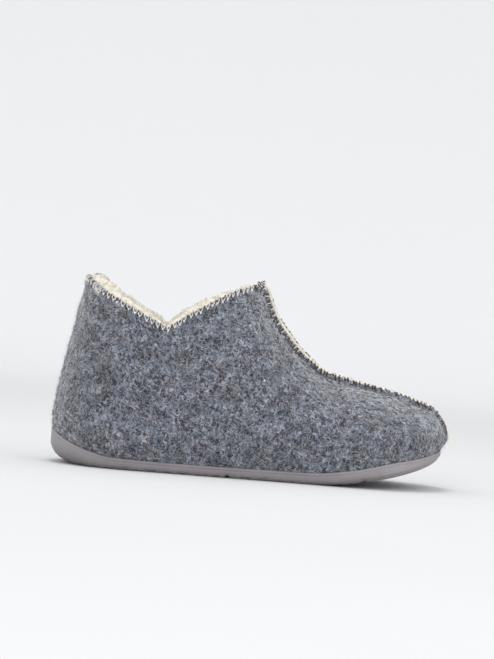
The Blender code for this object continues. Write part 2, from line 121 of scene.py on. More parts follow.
# How far the pile's wall stands above the felt, X and height
PILE_RISE = [
    (17.0, 0.2),
    (30.0, 0.2),
    (48.0, 2.1),
    (64.0, 1.7),
    (73.0, 0.6),
    (84.0, 1.8),
    (104.0, 2.0),
    (116.0, 1.1),
    (133.0, -0.8),
]
PILE_CROWN, RIM_ROWS, ROLL = 2.0, 8, 1.8
COLLAR_BACK_ROUND, COLLAR_FRONT_ROUND, COLLAR_FRONT_POINT = 2.2, 1.8, 0.9
COLLAR_BACK_DIP, COLLAR_FRONT_DIP = 0.82, 1.25
# Point of the collar where the front seam starts: its depth, and the length that it fades over
THROAT_CUT, THROAT_FADE = 4.5, 12.0

# How the felt curves between its guide lines, as shares of the distance
FOOT_FLARE, FOOT_LIFT, FOOT_UPRIGHT, TOP_PULL = 0.45, 0.3, 0.5, 0.42

# Raised front seam: distance from the centre line, height above the felt
RIDGE = [
    (0.0, 0.5),
    (1.85, 0.5),
    (2.1, 2.3),
    (2.9, 2.9),
    (3.9, 2.5),
    (4.7, 1.1),
    (5.3, -0.35),
    (6.2, -0.3),
    (7.5, 0.0),
]
# Share of that height along X on the medial and the lateral side, and the top of the fleece between them
RIDGE_SHARE = [
    (130.0, 0.60, 1.10, 3.4),
    (140.0, 0.72, 1.62, 4.0),
    (150.0, 0.72, 1.68, 4.2),
    (166.0, 0.85, 1.35, 3.8),
    (180.0, 0.92, 1.05, 3.4),
    (258.0, 0.95, 1.00, 3.1),
]
RIDGE_COLUMNS = [0.0, 0.9, 1.7, 1.85, 2.1, 2.45, 2.9, 3.4, 3.9, 4.3, 4.7, 5.0, 5.3, 5.7, 6.2, 6.8, 7.5]
MIDDLE = len(RIDGE_COLUMNS) - 1
# Heights above the sole where the ridge starts and where it is full
RIDGE_FOOT, RIDGE_FULL = 2.0, 8.0

# Sole: top of its rim, X and Z
RIM = [
    (0.0, 23.0),
    (9.0, 17.0),
    (27.0, 10.2),
    (45.0, 7.3),
    (90.0, 6.7),
    (170.0, 7.4),
    (197.0, 11.0),
    (223.0, 17.4),
    (245.0, 22.0),
    (261.0, 27.0),
]
# Around the sole: X, felt tucked inside the rim, sole wall inside the widest line, edge rounding in and up
SOLE_EDGE = [
    (0.0, 8.5, 0.0, 19.0, 12.5),
    (14.0, 7.5, 0.6, 10.0, 8.0),
    (40.0, 6.0, 2.2, 3.5, 3.2),
    (100.0, 5.5, 2.8, 2.5, 2.5),
    (215.0, 5.8, 3.0, 3.0, 2.5),
    (261.0, 6.2, 2.4, 8.0, 4.5),
]
SPRING_START, SPRING_RATE, SPRING_POWER = 168.0, 0.0059, 1.8
# Grooves across the tread: X, half length, width, depth
GROOVES = [
    (40.0, 26.0, 3.0, 1.0),
    (66.0, 30.0, 3.0, 1.0),
    (92.0, 30.0, 3.0, 1.0),
    (118.0, 75.0, 2.6, 0.9),
    (140.0, 34.0, 3.0, 1.0),
    (162.0, 36.0, 3.0, 1.0),
    (183.0, 36.0, 3.0, 1.0),
    (204.5, 75.0, 2.6, 0.9),
    (225.0, 28.0, 3.0, 1.0),
]

# Creases of the felt seen from the side: side, X and Z of both ends, half width, height
CREASES = [
    (-1, 179.0, 66.0, 191.0, 34.0, 7.0, -1.1),
    (-1, 197.0, 60.0, 206.0, 34.0, 7.0, 0.7),
    (-1, 176.0, 42.0, 226.0, 55.0, 4.5, 0.5),
    (-1, 190.0, 35.0, 232.0, 45.0, 4.5, -0.4),
    (-1, 58.0, 84.0, 66.0, 52.0, 11.0, -0.9),
    (-1, 24.0, 44.0, 62.0, 34.0, 9.0, 0.6),
    (-1, 118.0, 96.0, 150.0, 58.0, 12.0, -0.7),
    (1, 175.0, 66.0, 186.0, 34.0, 7.0, -1.0),
    (1, 194.0, 60.0, 203.0, 32.0, 8.0, 0.7),
    (1, 62.0, 80.0, 70.0, 48.0, 12.0, -0.8),
    (1, 112.0, 94.0, 146.0, 56.0, 12.0, -0.6),
]
# Distance from the centre line over which they fade in
CREASE_FADE = (4.0, 14.0)
# Lumps of the felt as height, span and noise seed, and the heights above the sole where they fade in
FELT_LUMPS, FELT_FADE = [(0.42, 13.0, 1), (0.34, 5.5, 2), (0.22, 2.8, 3)], (1.0, 9.0)
NOISE_SHIFT, PUFF_GAIN = (17.3, 5.1, 9.7), 1.6

# Mesh density
HEEL_STEPS, NOTCH_STEPS, COLLAR_STEPS, VAMP_STEPS, TOE_STEPS = 44, 10, 38, 48, 44
VAMP_SPREAD = 1.4
LOWER_ROWS, UPPER_ROWS = 9, 44
NORMAL_STEP, TINY = 0.4, 1e-6


def smooth(rows, column, x):
    """Cubic curve through a table's rows that does not overshoot them."""
    table = np.array(rows, float)
    xs, ys = table[:, 0], table[:, column]
    x = np.clip(x, xs[0], xs[-1])
    step, rise = np.diff(xs), np.diff(ys)
    slope = rise / step
    tangent = np.zeros(len(xs))
    tangent[0], tangent[-1] = slope[0], slope[-1]
    same = slope[:-1] * slope[1:] > 0
    both = np.where(same, slope[:-1] + slope[1:], 1.0)
    tangent[1:-1] = np.where(same, 2.0 * slope[:-1] * slope[1:] / both, 0.0)
    k = np.clip(np.searchsorted(xs, x, side="right") - 1, 0, len(step) - 1)
    f = (x - xs[k]) / step[k]
    return (
        ys[k] * (1 + 2 * f) * (1 - f) ** 2
        + step[k] * tangent[k] * f * (1 - f) ** 2
        + ys[k + 1] * f * f * (3 - 2 * f)
        + step[k] * tangent[k + 1] * f * f * (f - 1)
    )


def ease(low, high, x):
    """Smooth step from 0 at low to 1 at high."""
    f = np.clip((np.asarray(x, float) - low) / (high - low), 0.0, 1.0)
    return f * f * (3.0 - 2.0 * f)


def unit(vectors):
    return vectors / np.maximum(np.linalg.norm(vectors, axis=-1, keepdims=True), 1e-9)


def angles(steps):
    """Even steps round a full turn."""
    return np.arange(steps) * FULL_TURN / steps


def interpolated(x, xs, rows):
    """Place at X on the straight lines between a table's rows."""
    return np.stack([np.interp(x, xs, rows[:, k]) for k in range(3)], axis=-1)


def lumps(points, span, seed):
    """Soft noise between about -1 and 1 with bumps of the given span."""
    shift = Vector([seed * step for step in NOISE_SHIFT])
    return np.array([noise.noise(Vector(point / span) + shift) for point in points])


def puffs(points, span, seed):
    """Rounded clumps with creased hollows between them, from 0 to about 1."""
    return PUFF_GAIN * np.abs(lumps(points, span, seed))


def layered(kind, points, layers):
    """Sum of noise layers, each a height, a span and a seed."""
    return sum(height * kind(points, span, seed) for height, span, seed in layers)


def outline_half(x, side):
    """Half width of the felt at its widest line; side is -1 medial, 1 lateral."""
    full = smooth(FOOTPRINT, 1 if side < 0 else 2, x)
    heel = np.clip((HEEL_END - x) / (HEEL_END - HEEL_X), 0.0, 1.0)
    toe = np.clip((x - LENGTH + TOE_ROUND[side]) / TOE_ROUND[side], 0.0, 1.0)
    heel_cut = (1.0 - heel**HEEL_POWER) ** (1.0 / HEEL_POWER)
    toe_cut = (1.0 - toe ** TOE_POWER[side]) ** (1.0 / TOE_POWER[side])
    return full * heel_cut * toe_cut


def station_list():
    """X of every section at the widest line, and the index of the section at the throat."""
    turn = np.linspace(0.0, math.pi / 2, HEEL_STEPS + 1)
    heel = HEEL_X + (HEEL_END - HEEL_X) * (1.0 - np.cos(turn))
    notch_share = (NOTCH_X - COLLAR_WIDE_X) / (THROAT_TOP_X - COLLAR_WIDE_X)
    notch_foot = HEEL_END + notch_share * (THROAT_FOOT_X - HEEL_END)
    to_notch = np.linspace(HEEL_END, notch_foot, NOTCH_STEPS + 1)[1:]
    to_throat = np.linspace(notch_foot, THROAT_FOOT_X, COLLAR_STEPS + 1)[1:]
    toe_start = LENGTH - TOE_ROUND[-1]
    along = np.linspace(0.0, 1.0, VAMP_STEPS + 1)[1:] ** VAMP_SPREAD
    vamp = THROAT_FOOT_X + (toe_start - THROAT_FOOT_X) * along
    last = math.asin((TOE_END_X - toe_start) / TOE_ROUND[-1])
    toe = toe_start + TOE_ROUND[-1] * np.sin(np.linspace(0.0, last, TOE_STEPS + 1)[1:])
    xs = np.concatenate([heel, to_notch, to_throat, vamp, toe])
    return xs, HEEL_STEPS + NOTCH_STEPS + COLLAR_STEPS


STATIONS, THROAT = station_list()
LAST = len(STATIONS) - 1


def sole_bottom(x):
    """Height of the tread's surface: flat, then rising to the toe."""
    return SPRING_RATE * np.maximum(np.asarray(x, float) - SPRING_START, 0.0) ** SPRING_POWER


def recess_floor(x):
    return sole_bottom(x) + SOLE_PLATE


def wide_point(x, side, half=None):
    half = outline_half(x, side) if half is None else half
    return np.array([x, side * half, smooth(WIDEST, 1, x)])


def plan_normal(x, side):
    """Outward direction of the plan outline, level."""
    if x <= HEEL_X:
        return np.array([-1.0, 0.0, 0.0])
    if x >= LENGTH:
        return np.array([1.0, 0.0, 0.0])
    step = NORMAL_STEP * min(1.0, x - HEEL_X, LENGTH - x)
    along = wide_point(x + step, side) - wide_point(x - step, side)
    normal = np.array([-along[1], along[0], 0.0]) * side
    return normal / np.linalg.norm(normal)


def edge_at(x, column):
    return float(smooth(SOLE_EDGE, column, x))


def collar_half(x):
    back = np.clip((COLLAR_WIDE_X - x) / (COLLAR_WIDE_X - COLLAR_BACK_X), 0.0, 1.0)
    front = np.clip((x - COLLAR_WIDE_X) / (THROAT_TOP_X - COLLAR_WIDE_X), 0.0, 1.0)
    rear_half = COLLAR_HALF * (1.0 - back**COLLAR_BACK_ROUND) ** (1.0 / COLLAR_BACK_ROUND)
    taper = (1.0 - front**COLLAR_FRONT_ROUND) ** COLLAR_FRONT_POINT
    front_half = SEAM_BAND + (COLLAR_HALF - SEAM_BAND) * taper
    return rear_half if x < COLLAR_WIDE_X else front_half


def collar_height(x):
    if x < NOTCH_X:
        part = (x - COLLAR_BACK_X) / (NOTCH_X - COLLAR_BACK_X)
        return COLLAR_BACK_Z - (COLLAR_BACK_Z - NOTCH_Z) * max(part, 0.0) ** COLLAR_BACK_DIP
    part = (THROAT_TOP_X - x) / (THROAT_TOP_X - NOTCH_X)
    return THROAT_EDGE_Z - (THROAT_EDGE_Z - NOTCH_Z) * max(part, 0.0) ** COLLAR_FRONT_DIP


def seam_point(x):
    return np.array([x, 0.0, float(smooth(SEAM, 1, x))])


def pointed(centre, share):
    """A seam place moved forward for the collar's point; share is 0 at the seam, 1 beside its band."""
    shift = THROAT_CUT * (1.0 - share) * (1.0 - float(ease(0.0, THROAT_FADE, centre[0] - THROAT_TOP_X)))
    return centre + seam_point(centre[0] + shift) - seam_point(centre[0])


def top_point(x, side):
    """Where the section at X meets the collar or the seam band, and the wall's angle there."""
    if x <= THROAT_FOOT_X:
        if x <= HEEL_END:
            share = (x - HEEL_X) / (HEEL_END - HEEL_X)
            top_x = COLLAR_BACK_X + share * (COLLAR_WIDE_X - COLLAR_BACK_X)
        else:
            share = (x - HEEL_END) / (THROAT_FOOT_X - HEEL_END)
            top_x = COLLAR_WIDE_X + share * (THROAT_TOP_X - COLLAR_WIDE_X)
        point = np.array([top_x, side * collar_half(top_x), collar_height(top_x)])
        return point, float(smooth(COLLAR_LEAN, 1, top_x))
    top_x = float(smooth(SECTION_LEAN, 1, x))
    roof = float(smooth(SEAM, 2, top_x))
    point = seam_point(top_x)
    point += np.array([0.0, side * SEAM_BAND, -0.5 * SEAM_BAND * math.tan(math.radians(roof))])
    return point, roof


def bezier(a, b, c, d, u):
    u = np.asarray(u, float)[:, None]
    return a * (1 - u) ** 3 + 3 * b * u * (1 - u) ** 2 + 3 * c * u * u * (1 - u) + d * u**3


def lower_curve(foot, wide, u):
    rise = UP * (wide[2] - foot[2])
    flare = FOOT_FLARE * (wide - foot - rise)
    return bezier(foot, foot + flare + FOOT_LIFT * rise, wide - FOOT_UPRIGHT * rise, wide, u)


def upper_curve(wide, top, angle, u):
    chord = top - wide
    level = np.array([chord[0], chord[1], 0.0])
    level /= np.linalg.norm(level)
    tangent = level * math.cos(math.radians(angle))
    tangent[2] = math.sin(math.radians(angle))
    reach = TOP_PULL * abs(float(np.dot(chord, tangent)))
    rise = UP * smooth(WIDEST, 2, wide[0]) * chord[2]
    return bezier(wide, wide + rise, top - tangent * reach, top, u)


def end_half(x, centre):
    """Half width where the toe closes on the seam band, none for other sections."""
    if centre:
        return 0.0
    return SEAM_BAND if x >= TOE_END_X - TINY else None


def section(x, side, centre=False):
    """Points of one section from the feather line, inside the sole, up to its top."""
    wide = wide_point(x, side, end_half(x, centre))
    foot = wide - plan_normal(x, side) * edge_at(x, 1)
    foot[2] = float(recess_floor(foot[0])) + GAP
    if centre:
        top, angle = seam_point(SEAM[-1][0]), SEAM[-1][2]
    else:
        top, angle = top_point(x, side)
    lower = lower_curve(foot, wide, np.linspace(0.0, 1.0, LOWER_ROWS + 1))
    upper = upper_curve(wide, top, angle, np.linspace(0.0, 1.0, UPPER_ROWS + 1)[1:])
    return np.concatenate([lower, upper])


def felt_at_height(x, side, z, centre):
    """Outer face of the felt on the section at X, at height z below its widest line."""
    rows = section(x, side, centre)[: LOWER_ROWS + 1]
    return interpolated(z, rows[:, 2], rows)


def summed_normals(points, quads):
    """Sum of the normals of the quads that meet at each point, by area."""
    a, b, c, d = (points[quads[:, k]] for k in range(4))
    normals = np.cross(c - a, d - b)
    total = np.zeros_like(points)
    for k in range(4):
        np.add.at(total, quads[:, k], normals)
    return total


class Surface:
    """The felt's outer face without its raised seam, as one open sheet of quads."""

    def __init__(self, lifts=()):
        self.points, self.faces = [], []
        self.across, self.foot, self.collar, self.lifted = {}, set(), set(), {}
        self.main = {side: [] for side in SIDES}
        for i, x in enumerate(STATIONS):
            for side in SIDES:
                if i == 0 and side == 1:
                    self.main[1].append(self.main[-1][0])
                    continue
                self.main[side].append([self.add(point) for point in section(x, side)])
        self.rows = LOWER_ROWS + UPPER_ROWS
        for share in lifts:
            self.raise_collar(share)
        for side in SIDES:
            self.skin(self.main[side], side)
        self.strips = self.band(lifts)
        self.points = np.array(self.points)
        self.quads = np.array(self.faces)
        self.normals = self.vertex_normals()

    def add(self, point):
        self.points.append(np.array(point, float))
        return len(self.points) - 1

    def lift(self, below, share):
        rise = share * float(smooth(PILE_RISE, 1, self.points[below][0]))
        point = self.add(self.points[below] + UP * rise)
        self.lifted[point] = below
        return point

    def raise_collar(self, share):
        """One more row above the collar edge for the sections behind the throat."""
        for side in SIDES:
            for i in range(THROAT + 1):
                if i == 0 and side == 1:
                    continue
                column = self.main[side][i]
                column.append(self.lift(column[self.rows], share))

    def skin(self, columns, side):
        for left, right in zip(columns[:-1], columns[1:]):
            for j in range(min(len(left), len(right)) - 1):
                quad = [left[j], right[j], right[j + 1], left[j + 1]]
                self.faces.append(quad if side < 0 else quad[::-1])
        self.foot.update(column[0] for column in columns)
        self.collar.update(column[-1] for column in columns[: THROAT + 1])

    def band(self, lifts):
        """Strip along the centre of toe and vamp that carries the seam, from the sole to the throat."""
        middle = section(LENGTH, -1, centre=True)
        main, rows = self.main, self.rows
        stops = [(main[-1][LAST][j], main[1][LAST][j], middle[j]) for j in range(rows + 1)]
        for i in range(LAST - 1, THROAT - 1, -1):
            top, _ = top_point(STATIONS[i], -1)
            stops.append((main[-1][i][rows], main[1][i][rows], seam_point(top[0])))
        strips = []
        for medial, lateral, centre in stops:
            left = [self.band_point(centre, medial, distance) for distance in RIDGE_COLUMNS[-2:0:-1]]
            mid = self.add(pointed(centre, 0.0))
            self.across[mid] = 0.0
            right = [self.band_point(centre, lateral, distance) for distance in RIDGE_COLUMNS[1:-1]]
            strips.append([medial, *left, mid, *right, lateral])
        throat = strips[-1]
        for level, share in enumerate(lifts, start=1):
            inner = [self.lift(k, share) for k in throat[1:-1]]
            strips.append([main[-1][THROAT][rows + level], *inner, main[1][THROAT][rows + level]])
        for lower, upper in zip(strips[:-1], strips[1:]):
            for c in range(len(lower) - 1):
                self.faces.append([lower[c], lower[c + 1], upper[c + 1], upper[c]])
        self.foot.update(strips[0])
        self.collar.update(strips[-1])
        return strips

    def band_point(self, centre, edge, distance):
        share = distance / SEAM_BAND
        point = pointed(centre, share) + (self.points[edge] - centre) * share**2
        point[1] = (self.points[edge][1] - centre[1]) * share
        made = self.add(point)
        self.across[made] = distance
        return made

    def vertex_normals(self):
        flat = np.array([self.lifted.keys().isdisjoint(face) for face in self.faces])
        total = summed_normals(self.points, self.quads[flat])
        total[sorted(self.foot), 2] = 0.0
        centre = [k for k, distance in self.across.items() if distance == 0.0]
        total[centre, 1] = 0.0
        for point, below in self.lifted.items():
            total[point] = total[below]
        return unit(total)


def above_sole(points):
    return points[:, 2] - smooth(RIM, 1, points[:, 0])


def ridge_heights(surface):
    """How far each point of the felt stands out for the raised seam, fading out at the sole."""
    table = np.array(RIDGE)
    index = np.array(list(surface.across))
    distance = np.array(list(surface.across.values()))
    heights = np.zeros(len(surface.points))
    above = above_sole(surface.points[index])
    fade = np.clip((above - RIDGE_FOOT) / (RIDGE_FULL - RIDGE_FOOT), 0.0, 1.0)
    x, y = surface.points[index, 0], surface.points[index, 1]
    share = np.where(y < 0.0, smooth(RIDGE_SHARE, 1, x), smooth(RIDGE_SHARE, 2, x))
    heights[index] = np.interp(distance, table[:, 0], table[:, 1]) * fade * share
    return heights


def crease_heights(points):
    """Soft troughs and ridges of the felt, by distance from each crease seen from the side."""
    heights = np.zeros(len(points))
    plan = points[:, [0, 2]]
    for side, x0, z0, x1, z1, half_width, height in CREASES:
        start, along = np.array([x0, z0]), np.array([x1 - x0, z1 - z0])
        share = np.clip((plan - start) @ along / (along @ along), 0.0, 1.0)
        distance = np.linalg.norm(plan - start - share[:, None] * along, axis=1)
        near = ease(*CREASE_FADE, points[:, 1] * side)
        heights += height * np.exp(-((distance / half_width) ** 2)) * near
    return heights


def felt_relief(surface):
    """Lumps of the thick felt with the creases and the raised seam, flat where the sole holds it."""
    points = surface.points
    free = ease(*FELT_FADE, above_sole(points))
    lumpy = layered(lumps, points, FELT_LUMPS)
    return ridge_heights(surface) + free * (lumpy + crease_heights(points))


def shell(surface, outward, inward, crown, rim_rows):
    """Closed wall between two offsets of a sheet, with a rounded rim at the collar."""
    count = len(surface.points)
    outer = surface.points + surface.normals * np.broadcast_to(outward, count)[:, None]
    inner = surface.points - surface.normals * np.broadcast_to(inward, count)[:, None]
    turn = np.linspace(0.0, math.pi, rim_rows + 2)[1:-1]
    crossing = list(zip((1.0 - np.cos(turn)) / 2.0, np.sin(turn) * crown))
    points = [*outer, *inner]
    faces = surface.quads.tolist() + (surface.quads[:, ::-1] + count).tolist()
    directed = {(a, b) for f in surface.faces for a, b in zip(f, f[1:] + f[:1])}
    rims = {}
    for a, b in sorted(directed):
        if (b, a) in directed:
            continue
        if not (a in surface.collar and b in surface.collar):
            faces.append([b, a, a + count, b + count])
            continue
        for k in (a, b):
            if k not in rims:
                first = len(points)
                points += [outer[k] + (inner[k] - outer[k]) * share + UP * rise for share, rise in crossing]
                rims[k] = [k, *range(first, first + rim_rows), k + count]
        for j in range(rim_rows + 1):
            faces.append([rims[b][j], rims[a][j], rims[a][j + 1], rims[b][j + 1]])
    return np.array(points), faces


def linked(name, data):
    made = bpy.data.objects.new(name, data)
    bpy.context.scene.collection.objects.link(made)
    return made


def mesh_object(name, points, faces, material):
    mesh = bpy.data.meshes.new(name)
    mesh.from_pydata(points, [], faces)
    mesh.polygons.foreach_set("use_smooth", [True] * len(mesh.polygons))
    mesh.update()
    mesh.materials.append(material)
    return linked(name, mesh)


def make_piece(name, shape, material, node=None):
    """Smooth mesh object on the model's body, standing for a CAD node where one is named."""
    points, faces = shape
    piece = mesh_object(name, ((np.asarray(points) - ORIGIN) * MM).tolist(), faces, material)
    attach(piece, "root")
    if node:
        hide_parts(node)
    return piece


def tube_quads(index):
    """Faces round tubes, from the numbers of their points ring by ring."""
    turned = np.roll(index, -1, axis=-1)
    low, high = np.s_[..., :-1, :], np.s_[..., 1:, :]
    return np.stack([index[low], turned[low], turned[high], index[high]], axis=-1).reshape(-1, 4)


def tubes(paths, radii, sides, up):
    """Closed round tubes along many paths of the same number of points."""
    count, length = paths.shape[:2]
    along = unit(np.gradient(paths, axis=1))
    across = unit(np.cross(along, up))
    up = np.cross(across, along)
    turn = angles(sides)
    ring = np.cos(turn)[:, None] * across[:, :, None, :] + np.sin(turn)[:, None] * up[:, :, None, :]
    points = paths[:, :, None, :] + radii[:, :, None, None] * ring
    index = np.arange(count * length * sides).reshape(count, length, sides)
    faces = tube_quads(index).tolist() + index[:, 0, ::-1].tolist() + index[:, -1].tolist()
    return points.reshape(-1, 3), faces


class Skin:
    """A surface that fibres and threads are laid on."""

    def __init__(self, points, quads):
        self.points = points
        self.triangles = np.concatenate([quads[:, [0, 1, 2]], quads[:, [0, 2, 3]]])
        a, b, c = (points[self.triangles[:, k]] for k in range(3))
        cross = np.cross(b - a, c - a)
        self.areas = np.linalg.norm(cross, axis=1) / 2.0
        self.normals = unit(cross)
        self.centres = (a + b + c) / 3.0
        self.tree = BVHTree.FromPolygons(points.tolist(), quads.tolist())

    def scatter(self, count, weight):
        """Random points with their normals, spread by area times weight."""
        chance = self.areas * weight
        chosen = RANDOM.choice(len(chance), count, p=chance / chance.sum())
        share = RANDOM.random((count, 2))
        flip = share.sum(axis=1) > 1.0
        share[flip] = 1.0 - share[flip]
        a, b, c = (self.points[self.triangles[chosen, k]] for k in range(3))
        place = a + (b - a) * share[:, :1] + (c - a) * share[:, 1:]
        return place, self.normals[chosen]

    def cluster(self, start, heading, count, spread):
        """Points in a small group where a line first meets the surface, with their normals."""
        place = self.tree.ray_cast(Vector(start), Vector(heading))[0]
        around_it = np.asarray(place) + RANDOM.normal(0.0, spread, (count, 1, 3))
        laid, normals = self.settle(around_it, np.zeros((count, 1)))
        return laid[:, 0], normals[:, 0]

    def settle(self, paths, lifts):
        """Paths moved to the given heights above the surface, with the normals there."""
        laid, normals = np.empty_like(paths), np.empty_like(paths)
        for index in np.ndindex(paths.shape[:2]):
            laid[index], normals[index], _, _ = self.tree.find_nearest(paths[index].tolist())
        return laid + normals * lifts[:, :, None], normals


# Fibres, fuzz and curls: shares of their own sizes, leans in radians, loose ends in mm
FIBRE_SIDES = 3
FIBRE_WOBBLE, FIBRE_TAPER = 0.25, 0.6
LOOSE_SHARE, LOOSE_RISE = 0.2, (0.3, 1.2)
FUZZ_KNOTS = np.array([[-0.15, 0.45, 1.0]])
FUZZ_LEAN, FUZZ_BEND, FUZZ_TAPER = (0.3, 1.3), 0.35, 0.5
CURL_KNOTS = np.linspace(0.0, 1.0, 5)[None, :]
CURL_TURNS, CURL_LEAN, CURL_TAPER = (0.4, 0.95), 0.5, 0.65
# How far a curl arches over, in radians, and how deep its root sits, in mm
CURL_ARCH, CURL_ROOT = 2.2, 0.4


def between(span, count):
    """One random value for each fibre, between two limits."""
    return RANDOM.uniform(*span, (count, 1))


def tangent_pair(normals):
    """Two directions along the surface, the first turned at random."""
    guide = RANDOM.normal(size=normals.shape)
    first = unit(np.cross(normals, guide))
    return first, np.cross(normals, first)


def paths_from(place, *moves):
    """Paths that leave each place by a distance at every knot along each direction."""
    paths = place[:, None, :]
    for distance, direction in moves:
        paths = paths + distance[:, :, None] * direction[:, None, :]
    return paths


def lying_fibres(skin, spots, length, radius, lift, turn, knots=5):
    """Loose fibres that lie on a surface in arcs, some with an end that stands up a little."""
    place, normal = spots
    count = len(place)
    ahead, aside = tangent_pair(normal)
    t = np.linspace(-0.5, 0.5, knots)[None, :]
    heading = RANDOM.normal(0.0, turn, (count, 1)) * t
    heading = heading + RANDOM.normal(0.0, FIBRE_WOBBLE, (count, knots))
    step = between(length, count) / (knots - 1)
    along = np.cumsum(step * np.cos(heading), axis=1)
    sideways = np.cumsum(step * np.sin(heading), axis=1)
    along -= along.mean(axis=1, keepdims=True)
    sideways -= sideways.mean(axis=1, keepdims=True)
    height = between(lift, count) * (1.0 - 3.0 * t**2)
    loose = RANDOM.random((count, 1)) < LOOSE_SHARE
    height = height + loose * between(LOOSE_RISE, count) * np.clip(t, 0.0, 1.0) * 2.0
    laid, normals = skin.settle(paths_from(place, (along, ahead), (sideways, aside)), height)
    thick = between(radius, count) * (1.0 - FIBRE_TAPER * np.abs(t) * 2.0)
    return tubes(laid, thick, FIBRE_SIDES, normals)


def standing_fuzz(skin, count, length, radius, weight):
    """Short hairs that stand off the felt at a slant and soften its outline."""
    place, normal = skin.scatter(count, weight)
    ahead, aside = tangent_pair(normal)
    t = FUZZ_KNOTS
    reach = between(length, count)
    lean = between(FUZZ_LEAN, count)
    bend = RANDOM.normal(0.0, FUZZ_BEND, (count, 1)) * reach
    up = reach * np.cos(lean) * t
    out = reach * np.sin(lean) * t
    paths = paths_from(place, (up, normal), (out, ahead), (bend * t * t, aside))
    thick = between(radius, count) * (1.0 - FUZZ_TAPER * np.clip(t, 0.0, 1.0))
    return tubes(paths, thick, FIBRE_SIDES, aside[:, None, :])


def curls(skin, count, height, coil, radius, weight):
    """Small curled locks of fleece that stand on a surface."""
    place, normal = skin.scatter(count, weight)
    ahead, aside = tangent_pair(normal)
    t = CURL_KNOTS
    rise = between(height, count)
    size = between(coil, count)
    turns = between(CURL_TURNS, count) * FULL_TURN
    phase = between((0.0, FULL_TURN), count)
    grow = size * ease(0.0, 0.5, t)
    out = grow * np.cos(turns * t + phase) + CURL_LEAN * rise * t
    side = grow * np.sin(turns * t + phase)
    up = rise * np.sin(t * CURL_ARCH) - CURL_ROOT
    paths = paths_from(place, (up, normal), (out, ahead), (side, aside))
    thick = between(radius, count) * (1.0 - CURL_TAPER * t)
    return tubes(paths, thick, FIBRE_SIDES, normal[:, None, :])


def run_along(points):
    """Distance along rows of points, from 0 at the first point of each."""
    steps = np.linalg.norm(np.diff(points, axis=-2), axis=-1)
    start = np.zeros((*steps.shape[:-1], 1))
    return np.concatenate([start, np.cumsum(steps, axis=-1)], axis=-1)


class Patch:
    """A strip of a surface sampled by distance along it and distance across it."""

    def __init__(self, points, normals, across=None):
        self.points, self.normals = points, normals
        self.across = run_along(points) if across is None else across
        self.along = run_along(points[:, 0])
        self.length = self.along[-1]

    def pick(self, values, s, d):
        row = np.interp(np.clip(s, 0.0, self.length), self.along, np.arange(len(self.along)))
        low = min(int(row), len(self.along) - 2)
        start, end = (interpolated(d, self.across[r], values[r]) for r in (low, low + 1))
        return start + (end - start) * (row - low)

    def at(self, s, d, lift=0.0):
        normal = unit(self.pick(self.normals, s, d))
        return self.pick(self.points, s, d) + normal * lift, normal

    def stroke(self, s, d, lifts):
        """Points and normals of one stitch at the given distances and heights."""
        path, ups = zip(*(self.at(*stop) for stop in np.broadcast(s, d, lifts)))
        return list(path), list(ups)


# Materials: tones are red, green and blue, sizes are in metres, noise scales are per metre


class Look:
    """A material of shader nodes in object coordinates."""

    def __init__(self, name, roughness, **shader_values):
        self.made = bpy.data.materials.new(name)
        self.made.use_nodes = True
        self.tree = self.made.node_tree
        self.shader = self.tree.nodes["Principled BSDF"]
        self.feed(self.shader.inputs["Roughness"], roughness)
        for socket, value in shader_values.items():
            self.feed(self.shader.inputs[socket.replace("_", " ")], value)
        self.coords = self.node("TexCoord").outputs["Object"]

    def feed(self, socket, value):
        """Links a socket to another, or sets it to a plain value."""
        if isinstance(value, bpy.types.NodeSocket):
            self.tree.links.new(value, socket)
        else:
            socket.default_value = value

    def node(self, kind, inputs=None, **settings):
        made = self.tree.nodes.new("ShaderNode" + kind)
        for name, value in settings.items():
            setattr(made, name, value)
        for name, value in (inputs or {}).items():
            self.feed(made.inputs[name], value)
        return made

    def mix(self, factor, low, high, blend="MIX"):
        """Mix of two colours, each a socket or a tone."""
        sockets = bpy.types.NodeSocket
        low, high = (tone if isinstance(tone, sockets) else (*tone, 1.0) for tone in (low, high))
        inputs = {0: factor, 6: low, 7: high}
        return self.node("Mix", inputs, data_type="RGBA", blend_type=blend).outputs[2]

    def noise(self, scale, detail=2.0, roughness=0.5, vector=None):
        vector = self.coords if vector is None else vector
        inputs = {"Vector": vector, "Scale": scale, "Detail": detail, "Roughness": roughness}
        return self.node("TexNoise", inputs).outputs[0]

    def band(self, value, low, high, out_low=0.0, out_high=1.0):
        """Smooth ramp of a value between two limits."""
        inputs = {"Value": value, "From Min": low, "From Max": high, "To Min": out_low, "To Max": out_high}
        return self.node("MapRange", inputs, interpolation_type="SMOOTHSTEP").outputs[0]

    def clouds(self, scale, detail, low, high, vector=None):
        """Soft patches of noise from 0 to 1."""
        return self.band(self.noise(scale, detail, vector=vector), low, high)

    def height(self):
        return self.node("SeparateXYZ", {0: self.coords}).outputs[2]

    def combine(self, operation, a, b):
        return self.node("Math", {0: a, 1: b}, operation=operation).outputs[0]

    def warped(self, scale, amount):
        """Coordinates pushed about by noise, so that straight streaks turn wavy."""
        inputs = {"Vector": self.coords, "Scale": scale, "Detail": 2.0}
        cloud = self.node("TexNoise", inputs).outputs["Color"]
        centred = self.node("VectorMath", {0: cloud, 1: (0.5, 0.5, 0.5)}, operation="SUBTRACT")
        inputs = {0: centred.outputs[0], 1: (amount, amount, amount), 2: self.coords}
        return self.node("VectorMath", inputs, operation="MULTIPLY_ADD").outputs[0]

    def paint(self, colour):
        self.feed(self.shader.inputs["Base Color"], colour)
        return self.made

    def bump(self, height, strength, distance):
        inputs = {"Height": height, "Strength": strength, "Distance": distance}
        self.feed(self.shader.inputs["Normal"], self.node("Bump", inputs).outputs[0])


